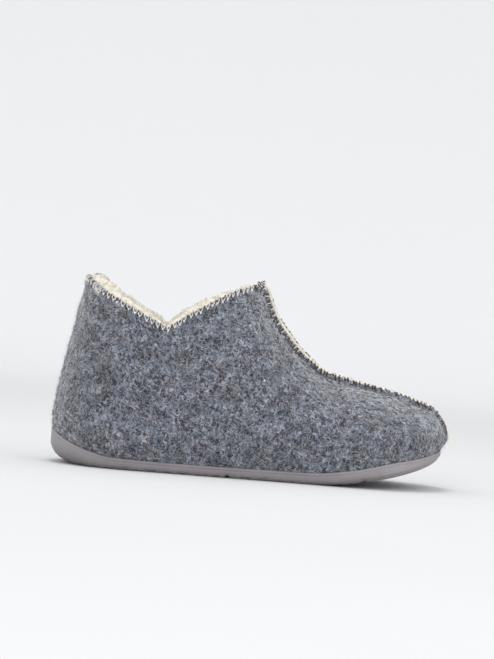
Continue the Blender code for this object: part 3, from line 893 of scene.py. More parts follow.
# Felt tones, and its fibre layers: turn in degrees about X, Y and Z, length and width in mm,
# threshold, softness, tone
FELT_DARK, FELT_MID = (0.030, 0.031, 0.039), (0.116, 0.125, 0.149)
FELT_SHEEN = (0.93, 0.94, 0.96, 1.0)
FELT_LAYERS = [
    ((0.0, 35.0, 0.0), 5.5, 1.8, 0.50, 0.18, (0.172, 0.188, 0.226)),
    ((0.0, -40.0, 15.0), 5.5, 1.7, 0.55, 0.14, (0.029, 0.030, 0.038)),
    ((10.0, 80.0, -20.0), 5.5, 1.7, 0.52, 0.16, (0.192, 0.208, 0.246)),
    ((0.0, 5.0, 25.0), 5.5, 1.6, 0.56, 0.14, (0.042, 0.039, 0.043)),
    ((25.0, -70.0, 40.0), 6.0, 1.2, 0.56, 0.12, (0.270, 0.294, 0.340)),
    ((-15.0, 20.0, -35.0), 6.0, 1.2, 0.58, 0.12, (0.310, 0.333, 0.378)),
]
# Cloudy tone, wide tone and hue of mixed wool: noise scale, detail, limits, and the factors at both limits
MELANGE = [
    ((170.0, 2.0, 0.36, 0.64), (0.80, 0.80, 0.80), (1.20, 1.20, 1.20)),
    ((58.0, 1.0, 0.36, 0.64), (0.93, 0.93, 0.94), (1.07, 1.07, 1.08)),
    ((95.0, 2.0, 0.40, 0.60), (1.03, 0.985, 0.955), (0.985, 1.0, 1.005)),
]
# Loose fibres: change of tone from one to the next, scale of their grain, strength and depth of its bump
FIBRE_CLOUDS, FIBRE_GRAIN, FIBRE_BUMP = (420.0, 1.0, 0.35, 0.65), 3500.0, (0.2, 0.0001)
# Loose wool and yarn: darkest and palest tone, and the wool's sheen
WOOLS = {
    "pale": ((0.166, 0.181, 0.217), (0.335, 0.361, 0.413), 0.3),
    "warm": ((0.100, 0.092, 0.096), (0.210, 0.198, 0.206), 0.3),
    "dark": ((0.034, 0.034, 0.041), (0.080, 0.080, 0.092), 0.1),
    "fuzz": ((0.40, 0.40, 0.42), (0.66, 0.66, 0.68), 0.3),
}
YARNS = {
    "pale": ((0.66, 0.64, 0.60), (0.86, 0.84, 0.80)),
    "grey": ((0.46, 0.455, 0.45), (0.74, 0.73, 0.71)),
    "dark": ((0.028, 0.017, 0.017), (0.070, 0.046, 0.045)),
}
# Fleece tones, hollows (painted shade) and tips: at the collar, deep in the shoe (painted warmer and
# brighter as bounce light inside), and the heights between which they change
FLEECE_RIM = [(0.655, 0.60, 0.485), (0.755, 0.715, 0.615)]
FLEECE_INSIDE_BOUNCE = [(0.96, 0.80, 0.52), (0.99, 0.89, 0.66)]
FLEECE_TURN = (0.050, 0.090)
# Rubber tones of the sole's lower part (painted shade) and upper part (painted light), the patchy dark
# painted shade along its bottom edge next to the floor, and the heights where they change
RUBBER_LOW_SHADED = [(0.162, 0.148, 0.154), (0.196, 0.180, 0.187)]
RUBBER_HIGH_LIT = [(0.245, 0.227, 0.236), (0.285, 0.266, 0.276)]
RUBBER_FLOOR_SHADE = (0.060, 0.054, 0.056)
RUBBER_TURN, FLOOR_SHADE_TURN = (0.003, 0.015), (0.0005, 0.0035)
# Noise: warp as scale and push; clouds as scale, detail and limits; bump as strength and depth
FELT_WARP, FELT_CLOUDS = (330.0, 0.0045), (190.0, 3.0, 0.36, 0.64)
FELT_GRAIN, FELT_BUMP = 900.0, (0.45, 0.0005)
FLEECE_WARP, FLEECE_LIMITS = (500.0, 0.0016), (0.72, 1.22)
FLEECE_GRAIN, FLEECE_BUMP = 1150.0, (0.6, 0.0009)
YARN_TWIST = {"Scale": 700.0, "Distortion": 1.5, "Detail": 1.0}
YARN_CLOUDS, YARN_BUMP = (900.0, 2.0, 0.3, 0.7), (0.5, 0.0003)
FLOOR_SHADE_CLOUDS, RUBBER_LIMITS = (420.0, 3.0, 0.35, 0.75), (0.3, 0.7)
RUBBER_GRAIN, RUBBER_BUMP = 2600.0, (0.12, 0.0002)
# Noise as scale, detail and roughness, and the rubber's gloss by that noise
FLEECE_TUFTS, RUBBER_NOISE = (330.0, 3.0, 0.6), (60.0, 4.0, 0.6)
RUBBER_GLOSS = (0.25, 0.75, 0.42, 0.6)


def melange(look, colour):
    """A felt colour with the cloudy tone and the bluish and brownish patches of mixed wool."""
    for clouds, low, high in MELANGE:
        factor = look.mix(look.clouds(*clouds), low, high)
        colour = look.mix(1.0, colour, factor, "MULTIPLY")
    return colour


def felt_material():
    """Grey melange felt: dark ground with pale, mid and charcoal fibres in every direction."""
    sheen = {"Sheen_Weight": 1.0, "Sheen_Roughness": 0.4, "Sheen_Tint": FELT_SHEEN}
    look = Look("felt_melange", roughness=0.95, Specular_IOR_Level=0.1, **sheen)
    wavy = look.warped(*FELT_WARP)
    colour = look.mix(look.clouds(*FELT_CLOUDS, wavy), FELT_DARK, FELT_MID)
    height = look.noise(FELT_GRAIN, vector=wavy)
    for turn, length, width, threshold, softness, tone in FELT_LAYERS:
        inputs = {
            "Vector": wavy,
            "Rotation": tuple(math.radians(angle) for angle in turn),
            "Scale": (length * MM, width * MM, width * MM),
        }
        mapped = look.node("Mapping", inputs, vector_type="TEXTURE").outputs[0]
        streak = look.clouds(1.0, 1.0, threshold, threshold + softness, mapped)
        colour = look.mix(streak, colour, tone)
        height = look.combine("ADD", streak, height)
    look.bump(height, *FELT_BUMP)
    return look.paint(melange(look, colour))


def fibre_material(name, low, high, sheen):
    """Loose wool fibres with a slow change of tone from one to the next."""
    look = Look(name, roughness=0.8, Sheen_Weight=sheen, Specular_IOR_Level=0.2)
    look.bump(look.noise(FIBRE_GRAIN), *FIBRE_BUMP)
    return look.paint(melange(look, look.mix(look.clouds(*FIBRE_CLOUDS), low, high)))


def fleece_colour(look, tone):
    """The pile's colour by tone, from the hollow tone (painted shade) to the tip, and by depth in the shoe
    (painted warm bounce light inside).
    """
    share = look.band(look.height(), *FLEECE_TURN)
    # Painted shade in the pile's hollows, and painted warm bounce light deep in the shoe
    hollow_shade, tip = (look.mix(share, inside, rim) for inside, rim in zip(FLEECE_INSIDE_BOUNCE, FLEECE_RIM))
    return look.mix(tone, hollow_shade, tip)


def fleece_material():
    """Cream pile: pale tips, warmer hollows with painted shade where the bump is low, a tan inside painted
    as warm bounce light, fine curl in the bump.
    """
    sheen = {"Sheen_Weight": 0.3, "Sheen_Roughness": 0.5}
    look = Look("fleece_cream", roughness=0.95, Specular_IOR_Level=0.1, **sheen)
    wavy = look.warped(*FLEECE_WARP)
    tufts = look.noise(*FLEECE_TUFTS, wavy)
    both = look.combine("ADD", tufts, look.noise(FLEECE_GRAIN, vector=wavy))
    look.bump(both, *FLEECE_BUMP)
    return look.paint(fleece_colour(look, look.band(both, *FLEECE_LIMITS)))


def curl_material():
    """Curled fibres of the pile, in the pile's colours with its painted warm bounce light inside the shoe.
    """
    look = Look("fleece_fibre", roughness=0.85, Sheen_Weight=0.3, Specular_IOR_Level=0.2)
    look.bump(look.noise(FIBRE_GRAIN), *FIBRE_BUMP)
    return look.paint(fleece_colour(look, look.clouds(*FIBRE_CLOUDS)))


def thread_material(name, low, high):
    """Sewing yarn with a twist along it."""
    look = Look(name, roughness=0.75, Sheen_Weight=0.2, Specular_IOR_Level=0.3)
    inputs = {"Vector": look.coords, **YARN_TWIST}
    look.bump(look.node("TexWave", inputs).outputs[1], *YARN_BUMP)
    return look.paint(look.mix(look.clouds(*YARN_CLOUDS), low, high))


def rubber_material():
    """Satin taupe rubber, painted darker towards the floor as shade and lighter above as light, with a
    patchy dark painted shade along the bottom edge and the tread.
    """
    look = Look("sole_rubber", roughness=0.5, Specular_IOR_Level=0.45)
    cloudy = look.noise(*RUBBER_NOISE)
    clouds = look.band(cloudy, *RUBBER_LIMITS)
    height = look.height()
    # Painted light and shade: the upper wall lighter as lit from above, the lower wall darker
    lower, upper = (look.mix(clouds, *tones) for tones in (RUBBER_LOW_SHADED, RUBBER_HIGH_LIT))
    colour = look.mix(look.band(height, *RUBBER_TURN), lower, upper)
    # Painted shade: a patchy dark band along the bottom edge and the tread underneath, next to the floor
    floor_shade = look.band(height, *FLOOR_SHADE_TURN, 1.0, 0.0)
    patchy_floor_shade = look.combine("MULTIPLY", floor_shade, look.clouds(*FLOOR_SHADE_CLOUDS))
    look.feed(look.shader.inputs["Roughness"], look.band(cloudy, *RUBBER_GLOSS))
    look.bump(look.noise(RUBBER_GRAIN), *RUBBER_BUMP)
    return look.paint(look.mix(patchy_floor_shade, colour, RUBBER_FLOOR_SHADE))


# Felt and lining

FELT_CROWN, FELT_RIM_ROWS = 0.6, 4
# Pile of the lining: clumps and fine lumps as height, span and noise seed, and how far each set is moved
PILE_CLUMPS, CLUMP_SHIFT = [(3.6, 19.0, 4), (1.7, 9.0, 11)], -1.6
PILE_LUMPS, LUMP_SHIFT = [(0.5, 6.0, 5), (0.4, 3.2, 6)], 0.2
# Shares of the rise for the rows above the collar, and how freely the pile moves on them
LINING_LIFTS, LIFTED_FREE = (0.34, 0.67, 1.0), 0.7
# Where clumps start across the rim, where they fade out along X, and the rows that the rolled edge takes up
RIM_CLUMPS, CLUMP_FADE, ROLL_ROWS = (0.25, 0.95), (127.0, 106.0), (2.0, 11.0)


def felt_upper(material):
    surface = Surface()
    shape = shell(surface, felt_relief(surface), FELT_WALL, FELT_CROWN, FELT_RIM_ROWS)
    make_piece("felt_upper", shape, material, "upper")
    return surface, shape[0][: len(surface.points)]


def fleece_lining(material):
    """Thick pile in soft clumps that roll over the inside of the collar."""
    surface = Surface(LINING_LIFTS)
    felt = FELT_WALL + GAP
    points, faces = shell(surface, -felt, felt + PILE, PILE_CROWN, RIM_ROWS)
    normals = unit(summed_normals(points, np.array(faces)))
    count = len(surface.points)
    free = np.ones(len(points))
    free[:count] = 0.0
    free[sorted(surface.lifted)] = LIFTED_FREE
    free[[k + count for k in sorted(surface.foot)]] = 0.0
    inside = np.ones(len(points))
    across = 1.0 + np.arange(len(points) - 2 * count) % RIM_ROWS
    inside[2 * count :] = ease(*RIM_CLUMPS, across / (RIM_ROWS + 1))
    inside = inside * ease(*CLUMP_FADE, points[:, 0])
    below = np.zeros(len(points))
    for columns in surface.main.values():
        for column in columns:
            below[np.array(column) + count] = np.maximum(surface.rows - np.arange(len(column)), 0)
    roll = ROLL * (1.0 - ease(*ROLL_ROWS, below))
    clumps = roll + layered(puffs, points, PILE_CLUMPS) + CLUMP_SHIFT
    fine = layered(lumps, points, PILE_LUMPS) + LUMP_SHIFT
    points = points + normals * (free * (fine + inside * clumps))[:, None]
    piece = make_piece("fleece_lining", (points, faces), material, "lining")
    visible = [face for face in faces if min(face) >= count or max(face) >= 2 * count]
    return Skin(points, np.array(visible))


# Sole and insole

GROOVE_WALL, GROOVE_END = 0.45, 1.0
EDGE_TURNS = np.radians([90.0, 75.0, 60.0, 45.0, 30.0, 15.0, 0.0])
LIP_TURNS = np.radians([0.0, 30.0, 60.0, 90.0])
SOLE_LIP, SHOULDER, LIP_ROUND, LIP_DROP = 1.1, 0.7, 0.6, 0.1
# Fine line moulded below the lip: depth under the lip's foot, inset; and the wall's share below it
LIP_LINE, LINE_LOWEST = [(1.5, 0.0), (1.15, 0.22), (0.85, 0.22), (0.5, 0.0)], 0.45
# Rows up the outside of the wall and down its inside, as shares of their heights
WALL_SHARES, INSIDE_SHARES = (0.2, 0.4), (0.6, 0.25)
RIM_CLEAR, NICK_SHARE, TREAD_COLUMNS = 1.0, 1.5, 40
# Rings of the insole from its base to its top: how far out, share of its thickness
INSOLE_RINGS = [(0.0, 0.0), (0.0, 0.4), (2.0, 0.8), (2.0, 1.05), (-1.2, 1.0)]
INSOLE_CLUMPS, INSOLE_SHIFT, INSOLE_COLUMNS = [(2.0, 15.0, 7), (0.8, 6.5, 8)], -0.9, 44


def around():
    """Sections round the sole: medial from heel to toe, the toe, lateral back to the heel."""
    loop = [(x, -1, False) for x in STATIONS]
    loop.append((LENGTH, -1, True))
    loop += [(x, 1, False) for x in STATIONS[:0:-1]]
    return loop


def outline_at(x, side, centre, inset):
    return wide_point(x, side, end_half(x, centre)) - plan_normal(x, side) * inset


def raised(point, z):
    return np.array([point[0], point[1], z])


def groove_depth(x, y):
    """Depth of the tread's grooves at a place, with soft walls."""
    depth = 0.0
    for centre, half, width, deep in GROOVES:
        wall = width / 2
        inside = 1.0 - ease(wall - GROOVE_WALL, wall + GROOVE_WALL, abs(x - centre))
        length = 1.0 - ease(half - GROOVE_END, half + GROOVE_END, abs(y))
        depth = max(depth, deep * inside * length)
    return depth


def fill_ring(points, faces, ring, first, columns, shape, upward):
    """Closes a ring that runs round the shoe with a grid, its inner points moved by shape."""
    size = len(ring)
    share = np.linspace(0.0, 1.0, columns + 1)
    index = np.zeros((LAST, columns + 1), int)
    for r in range(LAST):
        medial, lateral = r + 1, size - r - 1
        index[r, 0], index[r, -1] = first + medial, first + lateral
        for c in range(1, columns):
            index[r, c] = len(points)
            points.append(shape(ring[medial] + (ring[lateral] - ring[medial]) * share[c]))
    rungs = []
    for r in range(LAST - 1):
        for c in range(columns):
            rungs.append([index[r, c], index[r + 1, c], index[r + 1, c + 1], index[r, c + 1]])
    tip = first + LAST + 1
    for c in range(columns):
        rungs.append([first, index[0, c], index[0, c + 1]])
        rungs.append([index[-1, c], tip, index[-1, c + 1]])
    for rung in rungs:
        face = [int(k) for k in rung]
        faces.append(face if upward else face[::-1])


def ring_walls(rings):
    """Points of rings that run round the shoe, the faces between them, and the last ring's first point."""
    size = len(rings[0])
    points = [point for ring in rings for point in ring]
    faces = []
    for r in range(len(rings) - 1):
        for i in range(size):
            j = (i + 1) % size
            faces.append([r * size + i, r * size + j, (r + 1) * size + j, (r + 1) * size + i])
    return points, faces, len(points) - size


def sole_rings(x, side, centre):
    """One section of the cup sole: rounded edge, wall, soft lip, and the inside against the felt."""
    out = plan_normal(x, side)
    wall = outline_at(x, side, centre, edge_at(x, 2))
    foot = outline_at(x, side, centre, edge_at(x, 1) - CUP_GAP)
    floor = recess_floor(foot[0])
    rim = max(smooth(RIM, 1, x), floor + RIM_CLEAR)
    lip = felt_at_height(x, side, rim, centre) + out * CUP_GAP
    edge_in, edge_up = edge_at(x, 3), edge_at(x, 4)
    rounded = wall
    shoulder = lip + out * SHOULDER
    if np.dot(shoulder - wall, out) > 0.0:
        wall = shoulder
    points = []
    for turn in EDGE_TURNS:
        inward = edge_in * (1.0 - math.cos(turn))
        upward = edge_up * (1.0 - math.sin(turn))
        point = rounded - out * inward if turn else wall
        nick = NICK_SHARE * groove_depth(point[0], point[1]) * math.sin(turn) ** 0.5
        points.append(raised(point, sole_bottom(point[0]) + upward + nick))
    low = points[-1][2]
    top = rim - SOLE_LIP
    for share in WALL_SHARES:
        points.append(raised(wall, low + share * (top - low)))
    for depth, inset in LIP_LINE:
        points.append(raised(wall - out * inset, max(top - depth, low + LINE_LOWEST * (top - low))))
    thick = np.linalg.norm((wall - lip)[:2])
    for turn in LIP_TURNS:
        inward = min(thick * LIP_ROUND, SOLE_LIP) * (1.0 - math.cos(turn))
        points.append(raised(wall - out * inward, top + SOLE_LIP * math.sin(turn)))
    points.append(raised(lip, rim - LIP_DROP))
    for share in INSIDE_SHARES:
        height = floor + share * (rim - floor)
        points.append(raised(felt_at_height(x, side, height, centre) + out * CUP_GAP, height))
    points.append(raised(foot, floor))
    return points


def unmoved(point):
    return point


def tread(point):
    return raised(point, sole_bottom(point[0]) + groove_depth(point[0], point[1]))


def moulded_sole(material):
    rings = list(zip(*(sole_rings(*stop) for stop in around())))
    points, faces, first = ring_walls(rings)
    fill_ring(points, faces, rings[0], 0, TREAD_COLUMNS, tread, False)
    fill_ring(points, faces, rings[-1], first, 2, unmoved, True)
    make_piece("moulded_sole", (points, faces), material, "outsole")


def fleece_insole(material):
    rings = [[] for _ in INSOLE_RINGS]
    for x, side, centre in around():
        inset = edge_at(x, 1) + FELT_WALL + PILE + 3 * GAP
        base = recess_floor(outline_at(x, side, centre, inset)[0]) + GAP
        for ring, (wider, share) in zip(rings, INSOLE_RINGS):
            ring.append(raised(outline_at(x, side, centre, inset - wider), base + share * INSOLE_THICK))
    points, faces, first = ring_walls(rings)
    fill_ring(points, faces, rings[0], 0, 2, unmoved, False)
    top = len(points)
    fill_ring(points, faces, rings[-1], first, INSOLE_COLUMNS, unmoved, True)
    points = np.array(points)
    points[top:, 2] += layered(puffs, points[top:], INSOLE_CLUMPS) + INSOLE_SHIFT
    piece = make_piece("fleece_insole", (points, faces), material, "insole")
    quads = np.array([face for face in faces if len(face) == 4 and min(face) >= first])
    return Skin(points, quads)


# Stitches

STITCH_SIDES, STITCH_TAPER, YARN_SPREAD = 7, 0.35, (0.85, 1.15)
# How unevenly they are sewn: random shift of each stitch, of the zigzag's points and of its loops
STITCH_SHIFT, POINT_SHIFT, LOOP_SHIFT = 0.35, 0.25, 0.2
# Random shares of a stitch's depth: of all, of the zigzag's second arm, of the loops
DEPTH_SPREAD, SECOND_SPREAD, LOOP_SPREAD, LOOP_SLANT = (0.75, 1.18), (0.85, 1.0), (0.3, 0.6), 0.5
KNOT_SHARES = np.linspace(0.0, 1.0, 9)
# Zigzag stitch round the collar: period, yarn radii, and its depth along X
COLLAR_PERIOD, PALE_YARN, TIP_YARN, DARK_YARN = 4.2, 0.37, 0.46, 0.5
STITCH_DEPTH = [(17.0, 2.4), (73.0, 2.5), (100.0, 3.1), (126.5, 4.2)]
COLLAR_ROWS, COLLAR_START, ARM_CLEAR = 16, 0.4, 0.5
# Its way over the edge, behind the felt and above it, then down the felt: shares of its depth, heights
OVER_EDGE = [(2.7, -0.5), (2.0, 0.75), (0.8, 0.95)]
STROKE_SHARES = np.array([0.05, 0.25, 0.5, 0.75, 0.95, 1.0])
STROKE_LIFTS = (0.4, 0.36, 0.33, 0.3, 0.22, -0.35)
# Knot at its lower point: where it starts above the point, length, heights
TIP_ABOVE, TIP_LENGTH = 0.8, 1.1
TIP_LIFTS = (0.1, 0.3, 0.4, 0.45, 0.45, 0.45, 0.4, 0.2, -0.2)
# Overcast stitch of the front seam: slant, yarn radii, start from the centre line, heights
SEAM_SLANT, SEAM_YARN, SEAM_PALE_YARN, SEAM_INNER = 0.9, 0.60, 0.34, 1.95
SEAM_LIFTS = (-0.5, 0.25, 0.34, 0.36, 0.36, 0.36, 0.34, 0.22, -0.5)
# Along X: its period, and its reach from the centre line
SEAM_STITCH = [
    (133.0, 3.5, 9.6),
    (150.0, 3.2, 8.6),
    (166.0, 2.9, 6.6),
    (180.0, 2.8, 5.2),
    (258.0, 2.8, 4.0),
]
SEAM_STITCH_START, SEAM_STITCH_END, PALE_SHORTER = 0.8, 30.0, 1.2
REACH_SPREAD, SLANT_SPREAD = (0.8, 1.1), 0.6
BAND_EXTRA, THROAT_ROWS = 4, 6
# Stitches over the throat's end of the seam: distance from the centre line, depth, slant of arm and loop
THROAT_STITCHES, THROAT_DEPTH = [3.0, 4.6, 6.2, 7.8, 9.4], (3.6, 5.6)
THROAT_ARM, THROAT_LOOP = 0.4, 0.3
# How far its tip and its loop stand from it, and the loop's share of its depth
THROAT_TIP_BESIDE, THROAT_LOOP_BESIDE, THROAT_LOOP_SHARE = 0.3, 0.7, 0.7
# Two crossed loops at the middle of the heel: slant, depth, distance from the end
HEEL_SLANT, HEEL_DEPTH, HEEL_BACK = 2.4, 4.2, 1.2
# Pale fleck and tuft on the medial side, and two thread ends at the start of the seam: start and heading of
# the line that finds the place, number of fibres, spread, length, radius, lift, turn
FAR, INWARD, DOWN = 200.0, (0.0, 1.0, 0.0), (0.0, 0.0, -1.0)
PALE_BITS = [
    ((137.0, -FAR, 63.0), INWARD, 9, 0.3, (0.9, 1.8), (0.28, 0.40), (0.25, 0.6), 2.5),
    ((25.5, -FAR, 113.5), INWARD, 44, 1.8, (1.8, 4.5), (0.18, 0.34), (0.25, 0.6), 2.5),
    ((133.0, -2.6, FAR), DOWN, 5, 0.9, (3.5, 6.5), (0.28, 0.40), (0.4, 0.8), 3.0),
    ((134.0, 2.4, FAR), DOWN, 5, 0.9, (3.5, 6.5), (0.28, 0.40), (0.4, 0.8), 3.0),
]
# Dark tack on the pile at the middle of the heel, with the same values
HEEL_TACK = ((23.7, -1.0, FAR), DOWN, 9, 0.7, (2.0, 4.0), (0.2, 0.34), (0.3, 0.6), 1.5)


def half_strip(strip, side):
    """Points of a strip of the seam band from its centre line to one side."""
    return strip[MIDDLE::-1] if side < 0 else strip[MIDDLE:]


def beside_band(surface, side, stop):
    """Felt points next to the seam band at one of its strips, going outward."""
    rows, columns = surface.rows, surface.main[side]
    steps = range(1, BAND_EXTRA + 1)
    if stop <= rows:
        return [columns[LAST - k][stop] for k in steps]
    return [columns[LAST - stop + rows][rows - k] for k in steps]


def seam_patch(surface, outer, normals, side):
    """One side of the front seam's band and the felt beside it, from the throat down to the toe."""
    lines = []
    for stop, strip in enumerate(surface.strips):
        lines.append(half_strip(strip, side) + beside_band(surface, side, stop))
    index = np.array(lines[::-1])
    points = outer[index]
    band = np.broadcast_to(RIDGE_COLUMNS[:-1], (len(points), MIDDLE))
    across = np.concatenate([band, SEAM_BAND + run_along(points[:, MIDDLE:])], axis=1)
    return Patch(points, normals[index], across)


def throat_patch(surface, outer, normals, side):
    """One side of the seam band's top end at the throat, from the centre outward."""
    strips = surface.strips[: -1 - THROAT_ROWS : -1]
    index = np.array([half_strip(strip, side) for strip in strips]).T
    return Patch(outer[index], normals[index])


def collar_patch(surface, outer, normals, side):
    """The felt below its collar edge on one side, from the throat back to the heel."""
    columns = surface.main[side][THROAT::-1]
    index = np.array([column[surface.rows : surface.rows - COLLAR_ROWS : -1] for column in columns])
    return Patch(outer[index], normals[index])


def collar_stroke(patch, s, slant, depth):
    """One stitch over the collar's edge: from behind the felt, over its top and down its face."""
    edge, normal = patch.at(s, 0.0)
    over = [edge - normal * behind + UP * above for behind, above in OVER_EDGE]
    path, ups = patch.stroke(s + slant * STROKE_SHARES, depth * STROKE_SHARES, STROKE_LIFTS)
    return over + path, [UP] * len(over) + ups


def collar_tip(patch, s, depth):
    """Bright knot of yarn at the lower point of a zigzag stitch."""
    return patch.stroke(s, depth - TIP_ABOVE + TIP_LENGTH * KNOT_SHARES, TIP_LIFTS)


def seam_stroke(patch, s, slant, reach):
    """One stitch over the raised seam: from the groove over the crest and down to the crease."""
    across = SEAM_INNER + (reach - SEAM_INNER) * KNOT_SHARES
    return patch.stroke(s + slant * KNOT_SHARES, across, SEAM_LIFTS)


def stitch_piece(name, strokes, radius, material):
    paths, ups = (np.array(rows) for rows in zip(*strokes))
    t = np.linspace(0.0, 1.0, paths.shape[1])
    taper = 1.0 - STITCH_TAPER * np.abs(2.0 * t - 1.0) ** 3
    thick = radius * between(YARN_SPREAD, len(paths)) * taper[None, :]
    make_piece(name, tubes(paths, thick, STITCH_SIDES, ups), material)


def collar_stitches(patches, throat, yarns):
    """Pale zigzag along the collar with a dark loop over the edge at each of its upper points."""
    arms, tips, loops = [], [], []
    half = COLLAR_PERIOD / 2
    for side, patch in patches.items():
        for s in np.arange(COLLAR_START, patch.length - half, COLLAR_PERIOD):
            s += RANDOM.normal(0.0, STITCH_SHIFT)
            x = patch.at(s, 0.0)[0][0]
            depth = smooth(STITCH_DEPTH, 1, x) * RANDOM.uniform(*DEPTH_SPREAD)
            arm = half - ARM_CLEAR + RANDOM.normal(0.0, POINT_SHIFT, 2)
            tip = s + half + RANDOM.normal(0.0, POINT_SHIFT)
            second = depth * RANDOM.uniform(*SECOND_SPREAD)
            start = s + RANDOM.normal(0.0, LOOP_SHIFT)
            short = depth * RANDOM.uniform(*LOOP_SPREAD)
            arms.append(collar_stroke(patch, tip - arm[0], arm[0], depth))
            arms.append(collar_stroke(patch, tip + arm[1], -arm[1], second))
            tips.append(collar_tip(patch, tip, depth))
            loops.append(collar_stroke(patch, start, LOOP_SLANT, short))
        patch = throat[side]
        for s in THROAT_STITCHES:
            depth = RANDOM.uniform(*THROAT_DEPTH)
            arms.append(collar_stroke(patch, s, THROAT_ARM, depth))
            tips.append(collar_tip(patch, s + THROAT_TIP_BESIDE, depth))
            short = THROAT_LOOP_SHARE * depth
            loops.append(collar_stroke(patch, s + THROAT_LOOP_BESIDE, THROAT_LOOP, short))
    heel = patches[-1]
    for slant in (-HEEL_SLANT, HEEL_SLANT):
        loops.append(collar_stroke(heel, heel.length - slant / 2 - HEEL_BACK, slant, HEEL_DEPTH))
    stitch_piece("collar_stitches_grey", arms, PALE_YARN, yarns["grey"])
    stitch_piece("collar_stitches_pale", tips, TIP_YARN, yarns["pale"])
    stitch_piece("collar_stitches_dark", loops, DARK_YARN, yarns["dark"])


def seam_stitches(patches, yarns):
    """Dark overcast stitches along both edges of the front seam, with pale ones between them."""
    dark, pale = [], []
    for patch in patches.values():
        s = SEAM_STITCH_START
        while s < patch.length - SEAM_STITCH_END:
            x = patch.at(s, 0.0)[0][0]
            period = smooth(SEAM_STITCH, 1, x)
            reach = smooth(SEAM_STITCH, 2, x) * RANDOM.uniform(*REACH_SPREAD, 2)
            shift = RANDOM.normal(0.0, STITCH_SHIFT, 2)
            slant = SEAM_SLANT * RANDOM.normal(1.0, SLANT_SPREAD, 2)
            dark.append(seam_stroke(patch, s + shift[0], slant[0], reach[0]))
            pale.append(seam_stroke(patch, s + period / 2 + shift[1], -slant[1], reach[1] - PALE_SHORTER))
            s += period
    stitch_piece("seam_stitches_dark", dark, SEAM_YARN, yarns["dark"])
    stitch_piece("seam_stitches_pale", pale, SEAM_PALE_YARN, yarns["pale"])


def tuft(skin, start, heading, count, spread, *fibres):
    """A small group of loose fibres where a line first meets a surface."""
    return lying_fibres(skin, skin.cluster(start, heading, count, spread), *fibres)


def loose_bits(skin, pile, yarns):
    """Pale fleck, tuft and thread ends caught on the felt, and the dark tack on the pile at the heel."""
    points, faces = [], []
    for bit in PALE_BITS:
        made, quads = tuft(skin, *bit)
        faces += [[k + len(points) for k in face] for face in quads]
        points += made.tolist()
    make_piece("felt_pale_bits", (points, faces), yarns["pale"])
    make_piece("fleece_heel_tack", tuft(pile, *HEEL_TACK), yarns["dark"])


# Fleece between the two edges of the front seam: sides, height of its foot, half width, step along it
STRIP_SIDES, STRIP_FOOT, STRIP_HALF, STRIP_STEP = 12, 0.85, 1.7, 0.9
# Height above the sole where it starts, its pile as height, span and seed, and the limits of that pile
STRIP_START, STRIP_PILE, STRIP_LIMITS = 6.0, [(0.4, 4.0, 9), (0.35, 1.8, 10)], (-0.4, 0.5)
# How much wider the top of the strip is than its foot, along X
STRIP_SWELL = [(133.0, 0.9), (150.0, 0.35), (215.0, 0.3), (245.0, 0.75), (258.0, 0.8)]


def seam_fleece(surface, material):
    """Cream fleece that shows between the two edges of the front seam."""
    centres = np.array([strip[MIDDLE] for strip in surface.strips])
    centres = centres[above_sole(surface.points[centres]) > STRIP_START]
    travelled = run_along(surface.points[centres])
    even = np.arange(0.0, travelled[-1], STRIP_STEP)
    line = interpolated(even, travelled, surface.points[centres])
    normals = unit(interpolated(even, travelled, surface.normals[centres]))
    turn = angles(STRIP_SIDES)
    top = smooth(RIDGE_SHARE, 3, line[:, 0])
    centre = (top + STRIP_FOOT) / 2
    rise = centre[:, None] + (top - STRIP_FOOT)[:, None] / 2 * np.sin(turn)
    swell = smooth(STRIP_SWELL, 1, line[:, 0])[:, None] * np.clip(np.sin(turn), 0.0, 1.0) ** 0.5
    points = paths_from(line, (rise, normals))
    points[:, :, 1] += (STRIP_HALF + swell) * np.cos(turn)
    points = points.reshape(-1, 3)
    pile = np.clip(layered(lumps, points, STRIP_PILE), *STRIP_LIMITS)
    middle_line = np.repeat(line + normals * centre[:, None], STRIP_SIDES, axis=0)
    points = points + unit(points - middle_line) * pile[:, None]
    index = np.arange(len(points)).reshape(len(line), STRIP_SIDES)
    quads = tube_quads(index)
    faces = quads.tolist() + [index[0, ::-1].tolist(), index[-1].tolist()]
    make_piece("seam_fleece", (points, faces), material, "front_seam_strip")
    return Skin(points, quads)


# Fibres on the felt: piece, number, length, radius, lift, turn, knots, wool
FELT_FIBRES = [
    ("felt_fibres_pale", 5900, (2.4, 5.6), (0.13, 0.28), (0.05, 0.3), 2.4, 4, "pale"),
    ("felt_curls_pale", 1300, (3.4, 7.5), (0.20, 0.36), (0.10, 0.4), 3.6, 5, "pale"),
    ("felt_fibres_warm", 2800, (2.2, 5.2), (0.13, 0.30), (0.05, 0.3), 2.4, 4, "warm"),
    ("felt_fibres_dark", 3900, (2.2, 5.2), (0.14, 0.34), (0.05, 0.3), 2.4, 4, "dark"),
    ("felt_long_hairs", 260, (8.0, 19.0), (0.07, 0.11), (0.3, 0.6), 1.0, 9, "fuzz"),
]
# Fuzz: number, length, radius; how much denser it gets towards the heel and the toe, and where along X
FUZZ = (12000, (1.0, 3.0), (0.055, 0.10))
FUZZ_AT_HEEL, FUZZ_AT_TOE, FUZZ_HEEL, FUZZ_TOE = 2.2, 0.8, (45.0, 5.0), (215.0, 250.0)
# Heights above the sole's rim where fibres and fuzz set in
FIBRE_FADE = (0.0, 2.0)
# Curls of the lining, the insole and the seam's fleece: number, height, coil, radius
LINING_CURLS = (4800, (0.8, 1.9), (0.6, 1.2), (0.16, 0.32))
INSOLE_CURLS = (1300, (1.0, 2.2), (0.7, 1.4), (0.20, 0.38))
STRIP_CURLS = (900, (0.6, 1.3), (0.3, 0.6), (0.09, 0.18))
